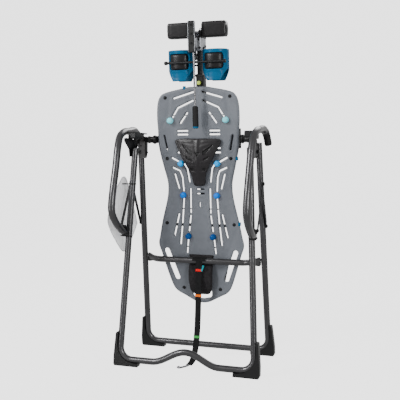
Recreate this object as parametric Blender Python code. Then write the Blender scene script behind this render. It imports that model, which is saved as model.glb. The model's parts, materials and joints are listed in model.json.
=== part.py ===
"""Home inversion table in its storage position, as separate solids for each real piece.

Metres, +Z up, +X to the right of a person facing the bed, +Y towards the front frame.
The design frame has the bed's axle at y = 0. The front frame's empty moves it, so
that the whole object stands on z = 0 with its box centred on the origin.

Bed pieces are built upright about the axle (x across, y into the back, z towards the
feet end), and the bed's empty leans them against the front frame's crossbar.
"""

import math

import bmesh
import bpy
from mathutils import Matrix, Vector
from mathutils.geometry import delaunay_2d_cdt

# Driving dimensions
GAP = 0.0004
STAND_SHIFT_Y = 0.0678
AXLE_HEIGHT = 1.125
BED_TILT = math.radians(5.7)
TUBE_RADIUS = 0.016
TUBE_WALL = 0.0015
TUBE_SIDES = 10
HANDLEBAR_RADIUS = 0.0175

# The two frames: foot line y, leg x at the floor, and how each leans per metre of height
REAR_Y, REAR_X, REAR_LEAN_Y, REAR_LEAN_X, REAR_TOP = -0.200, 0.343, 0.0833, -0.046, 1.075
FRONT_Y, FRONT_X, FRONT_LEAN_Y, FRONT_LEAN_X, FRONT_TOP = 0.186, 0.337, -0.1627, -0.0235, 1.105
BASE_HEIGHT = 0.030
BASE_BEND = 0.075
BASE_STRAIGHT = 0.21
HUMP_HEIGHT, HUMP_HALF = 0.059, 0.172
FOOT_REACH, FOOT_TALL, FOOT_LONG, FOOT_DEPTH = 0.369, 0.165, 0.128, 0.038
FOOT_GRASP = 0.0125

# Frame hinge, crossbar and spreaders
HINGE_Y, HINGE_Z = -0.050, 1.060
PIN_RADIUS = 0.006
CROSSBAR_HEIGHT, CROSSBAR_BACK, CROSSBAR_FRONT = 0.503, 0.104, 0.042
CROSSBAR_STRAIGHT = 0.228
SPREADER_Z, SPREADER_FRONT_Y, SPREADER_REAR_Y = 0.690, 0.0745, -0.168
SPREADER_MID_Y, SPREADER_MID_Z = -0.045, 0.905
SPREADER_WIDTH, SPREADER_THICK = 0.022, 0.003
FRONT_LINK_X, REAR_LINK_X = 0.3382, 0.3434

# Bed: thickness of its plate, how far the middle is dished, and its steel rails
BED_PLATE = 0.012
BED_DISH = 0.014
RAIL_RADIUS, RAIL_DEPTH = 0.011, 0.0385
RAIL_TIE_X, RAIL_TIE_Z = 0.1688, -0.447
SHAFT_WIDE, SHAFT_DEEP, SHAFT_CENTRE = 0.026, 0.042, 0.083
SHAFT_LOW, SHAFT_HIGH = -0.44, 0.478

# Half of the bed's outline, from the feet end to the head end: (half width, height)
BED_OUTLINE = [
    (0.045, 0.262), (0.165, 0.237), (0.199, 0.214), (0.213, 0.172), (0.2165, 0.105),
    (0.2135, 0.045), (0.2125, -0.030), (0.192, -0.130), (0.1745, -0.205), (0.171, -0.250),
    (0.178, -0.310), (0.205, -0.420), (0.221, -0.500), (0.229, -0.545), (0.2145, -0.592),
    (0.197, -0.650), (0.164, -0.752), (0.139, -0.794), (0.090, -0.823), (0.040, -0.850), (0.012, -0.857),
]
# Each slot of one half: width, then the points that its middle runs through
BED_SLOTS = [
    (0.008, [(0.024, 0.236), (0.125, 0.206)]),
    (0.008, [(0.027, 0.193), (0.106, 0.158), (0.134, 0.113)]),
    (0.008, [(0.058, 0.132), (0.094, 0.082)]),
    (0.008, [(0.060, 0.042), (0.109, 0.042)]),
    (0.008, [(0.060, 0.0235), (0.109, 0.0235)]),
    (0.008, [(0.060, -0.046), (0.111, -0.046)]),
    (0.008, [(0.060, -0.068), (0.111, -0.068)]),
    (0.008, [(0.180, 0.018), (0.167, -0.052)]),
    (0.008, [(0.146, -0.094), (0.109, -0.115)]),
    (0.008, [(0.142, -0.145), (0.106, -0.162), (0.094, -0.194), (0.089, -0.265)]),
    (0.008, [(0.089, -0.307), (0.098, -0.424), (0.111, -0.544)]),
    (0.008, [(0.080, -0.128), (0.066, -0.150), (0.056, -0.218)]),
    (0.008, [(0.052, -0.256), (0.053, -0.378)]),
    (0.008, [(0.054, -0.396), (0.064, -0.474)]),
    (0.008, [(0.070, -0.520), (0.077, -0.590)]),
    (0.008, [(0.132, -0.180), (0.113, -0.252)]),
    (0.008, [(0.116, -0.388), (0.143, -0.502)]),
    (0.026, [(0.185, -0.580), (0.133, -0.724)]),
]
# Short slots across and along the middle, each made once
CENTRE_SLOTS = [
    (0.006, [(-0.016, -0.257), (0.020, -0.257)]),
    (0.006, [(-0.016, -0.280), (0.020, -0.280)]),
    (0.006, [(-0.003, -0.328), (-0.003, -0.346)]),
]
BED_WINDOW = [(0.010, -0.834), (0.044, -0.826), (0.051, -0.816), (0.051, -0.792)]
NODE_PLACES = [(0.1455, 0.095), (0.0965, -0.1235), (0.0895, -0.288), (0.066, -0.5025)]
CREASE_STEP = 0.045

# Ankle system, in the bed's frame
PLATFORM_Z, PLATFORM_HALF, PLATFORM_DEPTH = 0.5395, 0.154, 0.040
PLATFORM_IN, PLATFORM_TALL = 0.026, 0.0385
LEVER_X, LEVER_PIVOT_Z, LEVER_Y = -0.009, 0.560, -0.030
CUP_LOW, CUP_HIGH, CUP_IN, CUP_OUT = 0.290, 0.443, 0.024, 0.155
ANKLE_Y = 0.050
ROD_Z, ROD_RADIUS = 0.525, 0.006
CUP_ROD_Y, CUP_ROD_RADIUS, CUP_ROD_END = -0.0195, 0.006, 0.152
CUP_CORNER = (0.030, 0.055)
PAD_HALF, PAD_LOW, PAD_HIGH, PAD_FRONT = 0.0445, 0.3475, 0.4225, -0.0131

BODIES = {}
MATERIALS = {}
COLOURS = {
    "tube_steel": ((0.075, 0.080, 0.085), 0.38, 0.7),
    "black_plastic": ((0.018, 0.018, 0.020), 0.5, 0.0),
    "bed_plastic": ((0.215, 0.225, 0.242), 0.45, 0.0),
    "bare_steel": ((0.50, 0.51, 0.53), 0.3, 1.0),
    "dark_steel": ((0.040, 0.042, 0.045), 0.4, 0.8),
    "lumbar_plastic": ((0.035, 0.031, 0.032), 0.45, 0.0),
    "cup_blue": ((0.0, 0.160, 0.370), 0.35, 0.0),
    "foam": ((0.022, 0.022, 0.023), 0.8, 0.0),
    "fabric": ((0.030, 0.028, 0.029), 0.9, 0.0),
    "webbing": ((0.012, 0.012, 0.012), 0.85, 0.0),
    "mesh_fabric": ((0.620, 0.620, 0.640), 0.6, 0.0),
    "node_light": ((0.330, 0.780, 0.800), 0.35, 0.0),
    "node_cyan": ((0.0, 0.350, 0.620), 0.35, 0.0),
    "node_blue": ((0.0, 0.170, 0.560), 0.35, 0.0),
    "node_deep": ((0.0, 0.080, 0.300), 0.35, 0.0),
    "knob_yellow": ((0.700, 0.780, 0.200), 0.4, 0.0),
}


def clear_scene():
    for obj in list(bpy.data.objects):
        bpy.data.objects.remove(obj)


def material(name):
    if name not in MATERIALS:
        colour, roughness, metallic = COLOURS[name]
        made = bpy.data.materials.new(name)
        made.use_nodes = True
        shader = made.node_tree.nodes["Principled BSDF"]
        shader.inputs["Base Color"].default_value = (*colour, 1.0)
        shader.inputs["Roughness"].default_value = roughness
        shader.inputs["Metallic"].default_value = metallic
        MATERIALS[name] = made
    return MATERIALS[name]


def add_body(name, parent, pivot, tilt=0.0):
    """An empty on the body's joint axis. pivot is in the parent body's own frame."""
    empty = bpy.data.objects.new("body_" + name, None)
    bpy.context.collection.objects.link(empty)
    empty.location = pivot
    empty.rotation_euler = (tilt, 0.0, 0.0)
    origin = Vector(pivot)
    if parent is not None:
        empty.parent = BODIES[parent][0]
        empty.location = Vector(pivot) - BODIES[parent][1]
    if tilt:
        origin = Vector((0.0, 0.0, 0.0))
    BODIES[name] = (empty, origin)


def add_piece(name, bm, body, material_name):
    """Links the mesh as one object of a body, with its origin on the body's joint."""
    empty, origin = BODIES[body]
    bmesh.ops.recalc_face_normals(bm, faces=bm.faces)
    bmesh.ops.translate(bm, verts=bm.verts, vec=-origin)
    mesh = bpy.data.meshes.new(name)
    bm.to_mesh(mesh)
    bm.free()
    mesh.materials.append(material(material_name))
    mesh.shade_smooth()
    mesh.set_sharp_from_angle(angle=math.radians(35))
    obj = bpy.data.objects.new(name, mesh)
    bpy.context.collection.objects.link(obj)
    obj.parent = empty
    return obj


def cut(obj, helper_bm, body, label, operation="DIFFERENCE"):
    """Cuts a hidden helper's shape out of an object, or joins it on with UNION."""
    helper = add_piece(obj.name + "_" + label, helper_bm, body, "dark_steel")
    helper.hide_render = True
    helper.display_type = "WIRE"
    modifier = obj.modifiers.new(label, "BOOLEAN")
    modifier.operation = operation
    modifier.solver = "EXACT"
    modifier.object = helper


def mirrored(bm):
    """The same shape on the other side, across x = 0."""
    bmesh.ops.scale(bm, vec=(-1.0, 1.0, 1.0), verts=bm.verts)
    bmesh.ops.reverse_faces(bm, faces=bm.faces)
    return bm


def on_side(bm, side):
    return bm if side > 0 else mirrored(bm)


def rounded_path(points, radius, steps=4):
    """The points with each corner turned into an arc of the given radius."""
    points = [Vector(p) for p in points]
    path = [points[0]]
    for before, corner, after in zip(points, points[1:], points[2:]):
        inward, outward = (before - corner).normalized(), (after - corner).normalized()
        half = inward.angle(outward) / 2
        reach = min(radius / math.tan(half), 0.48 * min((before - corner).length, (after - corner).length))
        real = reach * math.tan(half)
        centre = corner + (inward + outward).normalized() * (real / math.sin(half))
        start, end = corner + inward * reach - centre, corner + outward * reach - centre
        turn = start.angle(end)
        for k in range(steps + 1):
            share = k / steps
            at = start * math.sin((1 - share) * turn) + end * math.sin(share * turn)
            path.append(centre + at / math.sin(turn))
    path.append(points[-1])
    return path


def smooth_path(points, per_span=4):
    """A Catmull-Rom curve through the points."""
    points = [Vector(p) for p in points]
    ends = [2 * points[0] - points[1]] + points + [2 * points[-1] - points[-2]]
    path = []
    for a, b, c, d in zip(ends, ends[1:], ends[2:], ends[3:]):
        for k in range(per_span):
            t = k / per_span
            path.append(0.5 * (2 * b + (c - a) * t + (2 * a - 5 * b + 4 * c - d) * t * t
                               + (3 * b - a - 3 * c + d) * t ** 3))
    path.append(points[-1])
    return path


def ring(bm, centre, tangent, side, wide, tall, sides, square=False):
    """One closed loop of vertices across a path. wide runs along side, tall across it."""
    across = (side - tangent * side.dot(tangent)).normalized()
    up = tangent.cross(across)
    verts = []
    for k in range(sides):
        angle = 2 * math.pi * (k + 0.5) / sides
        c, s = math.cos(angle), math.sin(angle)
        if square:
            c, s = (math.copysign(abs(v) ** 0.45, v) for v in (c, s))
        verts.append(bm.verts.new(centre + across * (c * wide) + up * (s * tall)))
    return verts


def bridge(bm, first, second):
    for k in range(len(first)):
        j = (k + 1) % len(first)
        bm.faces.new((first[k], first[j], second[j], second[k]))


def sweep(path, radius, side=(1, 0, 0), wall=0.0, sides=TUBE_SIDES, sections=None, square=False):
    """A tube along the path, hollow with open ends if it has a wall. sections holds one
    (wide, tall) pair of half sizes for each point where the tube isn't round."""
    bm = bmesh.new()
    side = Vector(side)
    sizes = sections or [(radius, radius)] * len(path)
    layers = [0.0] + ([wall] if wall else [])
    skins = []
    for inset in layers:
        rings = []
        for k, point in enumerate(path):
            tangent = (path[min(k + 1, len(path) - 1)] - path[max(k - 1, 0)]).normalized()
            wide, tall = sizes[k]
            rings.append(ring(bm, point, tangent, side, wide - inset, tall - inset, sides, square))
        for a, b in zip(rings, rings[1:]):
            bridge(bm, a, b)
        skins.append(rings)
    if wall:
        bridge(bm, skins[0][0], skins[1][0])
        bridge(bm, skins[0][-1], skins[1][-1])
    else:
        bm.faces.new(skins[0][0])
        bm.faces.new(list(reversed(skins[0][-1])))
    return bm


def box(low, high, bevel=0.0, segments=2):
    bm = bmesh.new()
    bmesh.ops.create_cube(bm, size=1.0)
    low, high = Vector(low), Vector(high)
    bmesh.ops.scale(bm, vec=high - low, verts=bm.verts)
    bmesh.ops.translate(bm, vec=(low + high) / 2, verts=bm.verts)
    if bevel:
        bmesh.ops.bevel(bm, geom=list(bm.edges), offset=bevel, segments=segments,
                        profile=0.5, affect="EDGES", clamp_overlap=True)
    return bm


def turned(profile, start, axis=(1, 0, 0), sides=16):
    """A solid of revolution: profile is (distance along the axis, radius) pairs."""
    bm = bmesh.new()
    axis = Vector(axis).normalized()
    across = axis.orthogonal().normalized()
    up = axis.cross(across)
    rings = []
    for along, radius in profile:
        rings.append([
            bm.verts.new(Vector(start) + axis * along
                         + (across * math.cos(a) + up * math.sin(a)) * radius)
            for a in (2 * math.pi * k / sides for k in range(sides))
        ])
    for a, b in zip(rings, rings[1:]):
        bridge(bm, a, b)
    bm.faces.new(list(reversed(rings[0])))
    bm.faces.new(rings[-1])
    return bm


def rod(start, end, radius, sides=12):
    length = (Vector(end) - Vector(start)).length
    return turned([(0, radius), (length, radius)], start, Vector(end) - Vector(start), sides)


def slab(outline, low, high, place):
    """An outline extruded from low to high. place(u, v, w) gives the point in space."""
    bm = bmesh.new()
    sides = [[bm.verts.new(place(u, v, w)) for u, v in outline] for w in (low, high)]
    bm.faces.new(sides[0])
    bm.faces.new(list(reversed(sides[1])))
    bridge(bm, sides[0], sides[1])
    return bm


def across_x(u, v, w):
    return (w, u, v)


def along_y(u, v, w):
    return (u, w, v)


def along_z(u, v, w):
    return (u, v, w)


def stadium(start, end, radius, steps=4):
    """Outline of a bar with round ends."""
    start, end = Vector(start), Vector(end)
    heading = math.atan2(end.y - start.y, end.x - start.x)
    outline = []
    for centre, first in ((end, heading - math.pi / 2), (start, heading + math.pi / 2)):
        for k in range(steps + 1):
            angle = first + math.pi * k / steps
            outline.append((centre.x + radius * math.cos(angle), centre.y + radius * math.sin(angle)))
    return outline


# ---------------------------------------------------------------- the two frames

def rear_leg(z, side=1):
    return Vector((side * (REAR_X + REAR_LEAN_X * z), REAR_Y + REAR_LEAN_Y * z, z))


def front_leg(z, side=1):
    return Vector((side * (FRONT_X + FRONT_LEAN_X * z), FRONT_Y + FRONT_LEAN_Y * z, z))


def u_frame_path(leg, top, base):
    """Down one leg, along the base and up the other leg."""
    corner_right, corner_left = leg(BASE_HEIGHT, 1), leg(BASE_HEIGHT, -1)
    right = rounded_path([leg(top, 1), corner_right, Vector(base[0])], BASE_BEND)[:-1]
    left = rounded_path([Vector(base[-1]), corner_left, leg(top, -1)], BASE_BEND)[1:]
    return right + [Vector(p) for p in base] + left


def rear_base_points():
    """A level stretch beside each foot, and the hump between them."""
    steps = 10
    y = REAR_Y + REAR_LEAN_Y * BASE_HEIGHT
    points = [(BASE_STRAIGHT, y, BASE_HEIGHT)]
    for k in range(steps + 1):
        x = HUMP_HALF * (1 - 2 * k / steps)
        rise = HUMP_HEIGHT * (1 + math.cos(math.pi * x / HUMP_HALF)) / 2
        points.append((x, y + REAR_LEAN_Y * rise, BASE_HEIGHT + rise))
    return points + [(-BASE_STRAIGHT, y, BASE_HEIGHT)]


def front_base_points():
    y = FRONT_Y + FRONT_LEAN_Y * BASE_HEIGHT
    return [(BASE_STRAIGHT, y, BASE_HEIGHT), (-BASE_STRAIGHT, y, BASE_HEIGHT)]


def foot(name, leg, body, tube_path, side):
    """A moulded shoe under and outside the bend of a frame tube, flat on the floor."""
    top_x, bend_x = leg(FOOT_TALL).x, leg(BASE_HEIGHT + BASE_BEND).x
    arc = [(bend_x - BASE_BEND + (BASE_BEND + FOOT_GRASP) * math.cos(a),
            BASE_HEIGHT + BASE_BEND - (BASE_BEND + FOOT_GRASP) * math.sin(a))
           for a in (math.pi * k / 8 for k in range(5))]
    outline = [
        (FOOT_REACH - FOOT_LONG, 0.0), (FOOT_REACH - 0.006, 0.0), (FOOT_REACH, 0.008),
        (FOOT_REACH, 0.050), (top_x + 0.025, FOOT_TALL - 0.004), (top_x + 0.021, FOOT_TALL),
        (top_x + FOOT_GRASP, FOOT_TALL)] + arc + [(FOOT_REACH - FOOT_LONG, BASE_HEIGHT - FOOT_GRASP)]

    def place(u, v, w):
        return (u, leg(v).y + w, v)

    bm = slab(outline, -FOOT_DEPTH / 2, FOOT_DEPTH / 2, place)
    obj = add_piece(name, on_side(bm, side), body, "black_plastic")
    corner = [p for p in tube_path if side * p.x > BASE_STRAIGHT - 0.001 and p.z < FOOT_TALL]
    if side < 0:
        corner.reverse()
    path = [leg(FOOT_TALL + 0.05, side)] + corner
    cut(obj, sweep(path, TUBE_RADIUS + GAP, side=(0, 1, 0)), body, "tube_way")
    return obj


def frames():
    rear = u_frame_path(rear_leg, REAR_TOP, rear_base_points())
    front = u_frame_path(front_leg, FRONT_TOP, front_base_points())
    for name, path in (("rear_frame", rear), ("front_frame", front)):
        add_piece(name + "_tube", sweep(path, TUBE_RADIUS, (0, 1, 0), TUBE_WALL), name, "tube_steel")
    for label, side in (("left", -1), ("right", 1)):
        foot("rear_foot_" + label, rear_leg, "rear_frame", rear, side)
        foot("front_foot_" + label, front_leg, "front_frame", front, side)


def crossbar():
    """A bar that bows towards the bed, with flared ends against the legs."""
    end_x = front_leg(CROSSBAR_HEIGHT).x - TUBE_RADIUS - 0.0075
    route = [(-end_x, CROSSBAR_BACK, CROSSBAR_HEIGHT), (-CROSSBAR_STRAIGHT, CROSSBAR_FRONT, CROSSBAR_HEIGHT),
             (CROSSBAR_STRAIGHT, CROSSBAR_FRONT, CROSSBAR_HEIGHT), (end_x, CROSSBAR_BACK, CROSSBAR_HEIGHT)]
    path = rounded_path(route, 0.05)
    path.insert(1, path[0].lerp(path[1], 0.45))
    path.insert(-1, path[-1].lerp(path[-2], 0.45))
    sizes = [(TUBE_RADIUS, TUBE_RADIUS)] * len(path)
    sizes[0] = sizes[-1] = (0.024, 0.011)
    bm = sweep(path, TUBE_RADIUS, (0, 0, 1), TUBE_WALL, sections=sizes)
    add_piece("front_crossbar", bm, "front_frame", "tube_steel")


# ---------------------------------------------------------------- frame hinge

def hinge_plate_outline():
    """The axle's cradle: a slot open at the top, above the frame's pivot."""
    slot, floor = 0.0084, AXLE_HEIGHT
    arc = [(slot * math.cos(a), floor + slot * math.sin(a))
           for a in (-math.pi * k / 8 for k in range(9))]
    return [(-0.068, 1.040), (-0.050, 1.030), (0.030, 1.030), (0.042, 1.040), (0.042, 1.105),
            (0.020, 1.138), (slot, 1.138)] + arc + [(-slot, 1.138), (-0.040, 1.138),
            (-0.060, 1.110), (-0.068, 1.090)]


REAR_PLATE = [(-0.134, 1.036), (-0.045, 1.038), (-0.032, 1.050), (-0.032, 1.072), (-0.044, 1.098),
              (-0.056, 1.121), (-0.176, 1.128), (-0.200, 1.124), (-0.198, 1.110), (-0.142, 1.072)]
LOCK_OUTLINE = [(0.018, 1.052), (0.030, 1.046), (0.040, 1.054), (0.042, 1.120), (0.034, 1.142),
                (-0.008, 1.142), (-0.010, 1.1355), (0.014, 1.1365), (0.021, 1.120)]
COVER_OUTLINE = [(-0.160, 1.130), (-0.154, 1.124), (0.004, 1.124), (0.010, 1.130), (0.010, 1.150),
                 (0.002, 1.158), (-0.148, 1.158), (-0.158, 1.150)]


def frame_hinge(label, side):
    hinge = (HINGE_Y, HINGE_Z)

    def pin_hole(low, high):
        return on_side(rod((low, *hinge), (high, *hinge), PIN_RADIUS + GAP, 12), side)

    plate = slab(hinge_plate_outline(), 0.2895, 0.2935, across_x)
    obj = add_piece("hinge_plate_" + label, on_side(plate, side), "front_frame", "bare_steel")
    cut(obj, pin_hole(0.28, 0.30), "front_frame", "pin_hole")
    rear = slab(REAR_PLATE, 0.3124, 0.3160, across_x)
    obj = add_piece("hinge_strap_" + label, on_side(rear, side), "rear_frame", "dark_steel")
    cut(obj, pin_hole(0.30, 0.32), "rear_frame", "pin_hole")
    pin = turned([(0, 0.010), (0.003, 0.010), (0.0031, PIN_RADIUS), (0.0303, PIN_RADIUS), (0.0304, 0.010),
                  (0.0334, 0.010)], (0.2862, *hinge))
    add_piece("hinge_pin_" + label, on_side(pin, side), "front_frame", "dark_steel")
    cover = slab(COVER_OUTLINE, 0.275, 0.3115, across_x)
    obj = add_piece("hinge_cover_" + label, on_side(cover, side), "front_frame", "black_plastic")
    axle_room = box((0.270, -0.066, 1.110), (0.2942, 0.050, 1.152))
    cut(obj, on_side(axle_room, side), "front_frame", "axle_room")
    top = rear_leg(REAR_TOP)
    up = (rear_leg(REAR_TOP + 0.01) - top).normalized()
    plug = turned([(0, 0.0158), (0.003, 0.0158), (0.0045, 0.013)], top + up * GAP, up, 12)
    add_piece("rear_leg_cap_" + label, on_side(plug, side), "rear_frame", "black_plastic")
    lock = slab(LOCK_OUTLINE, 0.2857, 0.2887, across_x)
    add_piece("axle_lock_" + label, on_side(lock, side), "axle_lock_" + label, "black_plastic")


# ---------------------------------------------------------------- handlebars and spreaders

HANDLEBAR_ROUTE = [
    (0.325, -0.1775, 0.660), (0.326, -0.222, 0.682), (0.3265, -0.280, 0.722), (0.327, -0.322, 0.775),
    (0.327, -0.314, 0.850), (0.328, -0.272, 0.980), (0.330, -0.244, 1.075), (0.334, -0.208, 1.132),
    (0.3365, -0.150, 1.158), (0.3365, -0.095, 1.164), (0.3370, -0.045, 1.171), (0.3385, -0.008, 1.171),
    (0.3405, 0.020, 1.160),
]
HORN_ROUTE = [(0.3406, 0.0211, 1.1593), (0.3410, 0.0257, 1.1561), (0.344, 0.040, 1.139), (0.347, 0.051, 1.116),
              (0.350, 0.057, 1.092)]


def handlebar(label, side):
    path = smooth_path(HANDLEBAR_ROUTE, 2)
    sizes = [(HANDLEBAR_RADIUS, HANDLEBAR_RADIUS)] * len(path)
    sizes[0] = (HANDLEBAR_RADIUS, 0.009)
    tube = sweep(path, HANDLEBAR_RADIUS, (1, 0, 0), TUBE_WALL, 10, sections=sizes)
    add_piece("handlebar_" + label, on_side(tube, side), "rear_frame", "tube_steel")
    grip_path = smooth_path(HORN_ROUTE, 3)
    radii = [(0.0185, 0.0185)] * len(grip_path)
    radii[0] = (0.0178, 0.0178)
    radii[-1] = (0.013, 0.013)
    grip = sweep(grip_path, 0.0185, (1, 0, 0), sections=radii)
    add_piece("horn_grip_" + label, on_side(grip, side), "rear_frame", "foam")


def spreader(label, side):
    """Each side's two links, which meet beside each other at the middle pivot."""
    middle = (SPREADER_MID_Y, SPREADER_MID_Z)
    half = SPREADER_WIDTH / 2
    front = slab(stadium((SPREADER_FRONT_Y, SPREADER_Z), middle, half), FRONT_LINK_X,
                 FRONT_LINK_X + SPREADER_THICK, across_x)
    add_piece("spreader_front_" + label, on_side(front, side), "front_spreaders", "dark_steel")
    rear = slab(stadium((SPREADER_REAR_Y, SPREADER_Z), middle, half), REAR_LINK_X,
                REAR_LINK_X + SPREADER_THICK, across_x)
    add_piece("spreader_rear_" + label, on_side(rear, side), "rear_spreaders", "dark_steel")


def caddy():
    """The soft pouch that hangs on the left side, outside the legs."""
    outline = [(-0.150, 0.915), (-0.120, 0.935), (-0.080, 0.930), (-0.030, 0.860), (0.066, 0.705),
               (0.060, 0.672), (-0.020, 0.600), (-0.080, 0.565), (-0.130, 0.560), (-0.230, 0.640),
               (-0.292, 0.705), (-0.296, 0.750), (-0.230, 0.850)]
    add_piece("storage_caddy", slab(outline, -0.361, -0.356, across_x), "rear_frame", "mesh_fabric")


# ---------------------------------------------------------------- tether

STRAP_HALF, STRAP_THICK, LOOP_HALF, HOOK_RADIUS = 0.016, 0.0024, 0.036, 0.0045
STRAP_RING = TUBE_RADIUS + 0.0018
STRAP_ROUTE = [
    (0.0, CROSSBAR_FRONT - STRAP_RING, CROSSBAR_HEIGHT), (0.0, 0.0225, 0.440), (0.0, 0.019, 0.360),
    (0.0, 0.016, 0.270), (0.0, 0.009, 0.190), (0.0, -0.004, 0.125), (0.0, -0.022, 0.075),
    (-0.001, -0.044, 0.038), (-0.002, -0.068, 0.016), (-0.004, -0.092, 0.0075), (-0.006, -0.118, 0.0045),
]


def tether():
    circle = [(0.0, CROSSBAR_FRONT + STRAP_RING * math.cos(a), CROSSBAR_HEIGHT + STRAP_RING * math.sin(a))
              for a in (math.radians(d) for d in range(-100, 180, 28))]
    path = [Vector(p) for p in circle] + smooth_path(STRAP_ROUTE, 2)
    widths = [LOOP_HALF] * len(circle) + [STRAP_HALF] * (len(path) - len(circle))
    strap = sweep(path, STRAP_HALF, (1, 0, 0), sides=8, square=True,
                  sections=[(width, STRAP_THICK / 2) for width in widths])
    add_piece("tether_strap", strap, "front_frame", "webbing")
    hook_path = smooth_path([(-0.0062, -0.1215, 0.0052), (-0.012, -0.137, 0.0054), (-0.024, -0.158, 0.0054),
                             (-0.038, -0.174, 0.0054), (-0.047, -0.170, 0.0054), (-0.044, -0.158, 0.0054)], 3)
    add_piece("tether_hook", sweep(hook_path, HOOK_RADIUS, (0, 0, 1), sides=8), "front_frame", "bare_steel")


# ---------------------------------------------------------------- bed

def bed_face(x, z):
    """Depth of the bed's face: dished across, and deeper at the waist."""
    across = max(0.0, 1 - (x / 0.20) ** 2)
    waist = 0.006 * math.exp(-((z + 0.27) / 0.13) ** 2)
    return BED_DISH * across + waist


def slot_outline(points, width, steps=2):
    """A closed outline of the given width round an open line."""
    points = [Vector(p) for p in points]
    left, right = [], []
    for k, point in enumerate(points):
        heading = (points[min(k + 1, len(points) - 1)] - points[max(k - 1, 0)]).normalized()
        normal = Vector((-heading.y, heading.x)) * (width / 2)
        left.append(point + normal)
        right.append(point - normal)

    def cap(centre, start):
        arm = start - centre
        turns = (Matrix.Rotation(math.pi * k / steps, 2) for k in range(1, steps))
        return [centre + turn @ arm for turn in turns]

    outline = right + cap(points[-1], right[-1]) + list(reversed(left)) + cap(points[0], left[0])
    return [(p.x, p.y) for p in outline]


def bed_loops():
    half = [Vector((*p, 0.0)) for p in BED_OUTLINE]
    right = [(p.x, p.y) for p in half]
    outer = right + [(-x, z) for x, z in reversed(right)]
    holes = []
    for width, points in BED_SLOTS:
        hole = slot_outline(points, width)
        holes += [hole, [(-x, z) for x, z in hole]]
    holes += [slot_outline(points, width) for width, points in CENTRE_SLOTS]
    holes.append([(-x, z) for x, z in reversed(BED_WINDOW)] + BED_WINDOW)
    return outer, holes


def inside(point, loop):
    x, z = point
    hit = False
    for (ax, az), (bx, bz) in zip(loop, loop[1:] + loop[:1]):
        if (az > z) != (bz > z) and x < (bx - ax) * (z - az) / (bz - az) + ax:
            hit = not hit
    return hit


def bed_plate():
    """The bed as one moulded plate: a flat triangulation with its slots, bent to the face."""
    outer, holes = bed_loops()
    verts, edges = [], []
    for loop in [outer] + holes:
        first = len(verts)
        verts += [Vector(p) for p in loop]
        edges += [(first + k, first + (k + 1) % len(loop)) for k in range(len(loop))]
    for i in range(-4, 5):
        for j in range(-18, 6):
            point = (i * CREASE_STEP, j * CREASE_STEP)
            if inside(point, outer) and not any(inside(point, hole) for hole in holes):
                verts.append(Vector(point))
    flat, _, faces, *_ = delaunay_2d_cdt(verts, edges, [], 0, 1e-6)
    bm = bmesh.new()
    layers = []
    for offset in (0.0, BED_PLATE):
        layers.append([bm.verts.new((p.x, bed_face(p.x, p.y) + offset, p.y)) for p in flat])
    kept = []
    for face in faces:
        x = sum(flat[k].x for k in face) / len(face)
        z = sum(flat[k].y for k in face) / len(face)
        if inside((x, z), outer) and not any(inside((x, z), hole) for hole in holes):
            kept.append(face)
    count = {}
    for face in kept:
        bm.faces.new([layers[0][k] for k in face])
        bm.faces.new([layers[1][k] for k in reversed(face)])
        for a, b in zip(face, list(face[1:]) + [face[0]]):
            count[(a, b)] = True
    for a, b in count:
        if (b, a) not in count:
            bm.faces.new((layers[0][b], layers[0][a], layers[1][a], layers[1][b]))
    loose = [v for v in bm.verts if not v.link_faces]
    bmesh.ops.delete(bm, geom=loose, context="VERTS")
    return bm


def bed_rails():
    """The steel loop behind the plate, open at the feet end where the sleeve sits."""
    y = RAIL_DEPTH
    half = [(0.034, 0.213), (0.112, 0.181), (0.168, 0.158), (0.165, -0.100), (0.152, -0.250),
            (0.178, -0.436), (0.099, -0.782)]
    route = [(x, y, z) for x, z in half] + [(-x, y, z) for x, z in reversed(half)]
    path = rounded_path(route, 0.05, 3)
    return sweep(path, RAIL_RADIUS, (0, 1, 0), TUBE_WALL, sides=8)


def roller_hinge(label, side):
    profile = [(0.1795, 0.0500), (0.2185, 0.0500), (0.2185, -0.018), (0.2225, -0.018), (0.2225, 0.0540),
               (0.1640, 0.0540), (0.1640, 0.0500)]
    arm = slab(profile, -0.018, 0.018, along_z)
    obj = add_piece("roller_hinge_" + label, on_side(arm, side), "bed", "black_plastic")
    back = on_side(box((0.1640, 0.0500, -0.050), (0.2110, 0.0540, 0.050)), side)
    cut(obj, back, "bed", "back_plate", "UNION")
    axle = turned([(0, 0.016), (0.003, 0.016), (0.0031, 0.0130), (0.0640, 0.0130), (0.0642, 0.008),
                   (0.0731, 0.008)], (0.2200, 0, 0))
    cut(obj, on_side(axle, side), "bed", "axle", "UNION")


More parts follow.
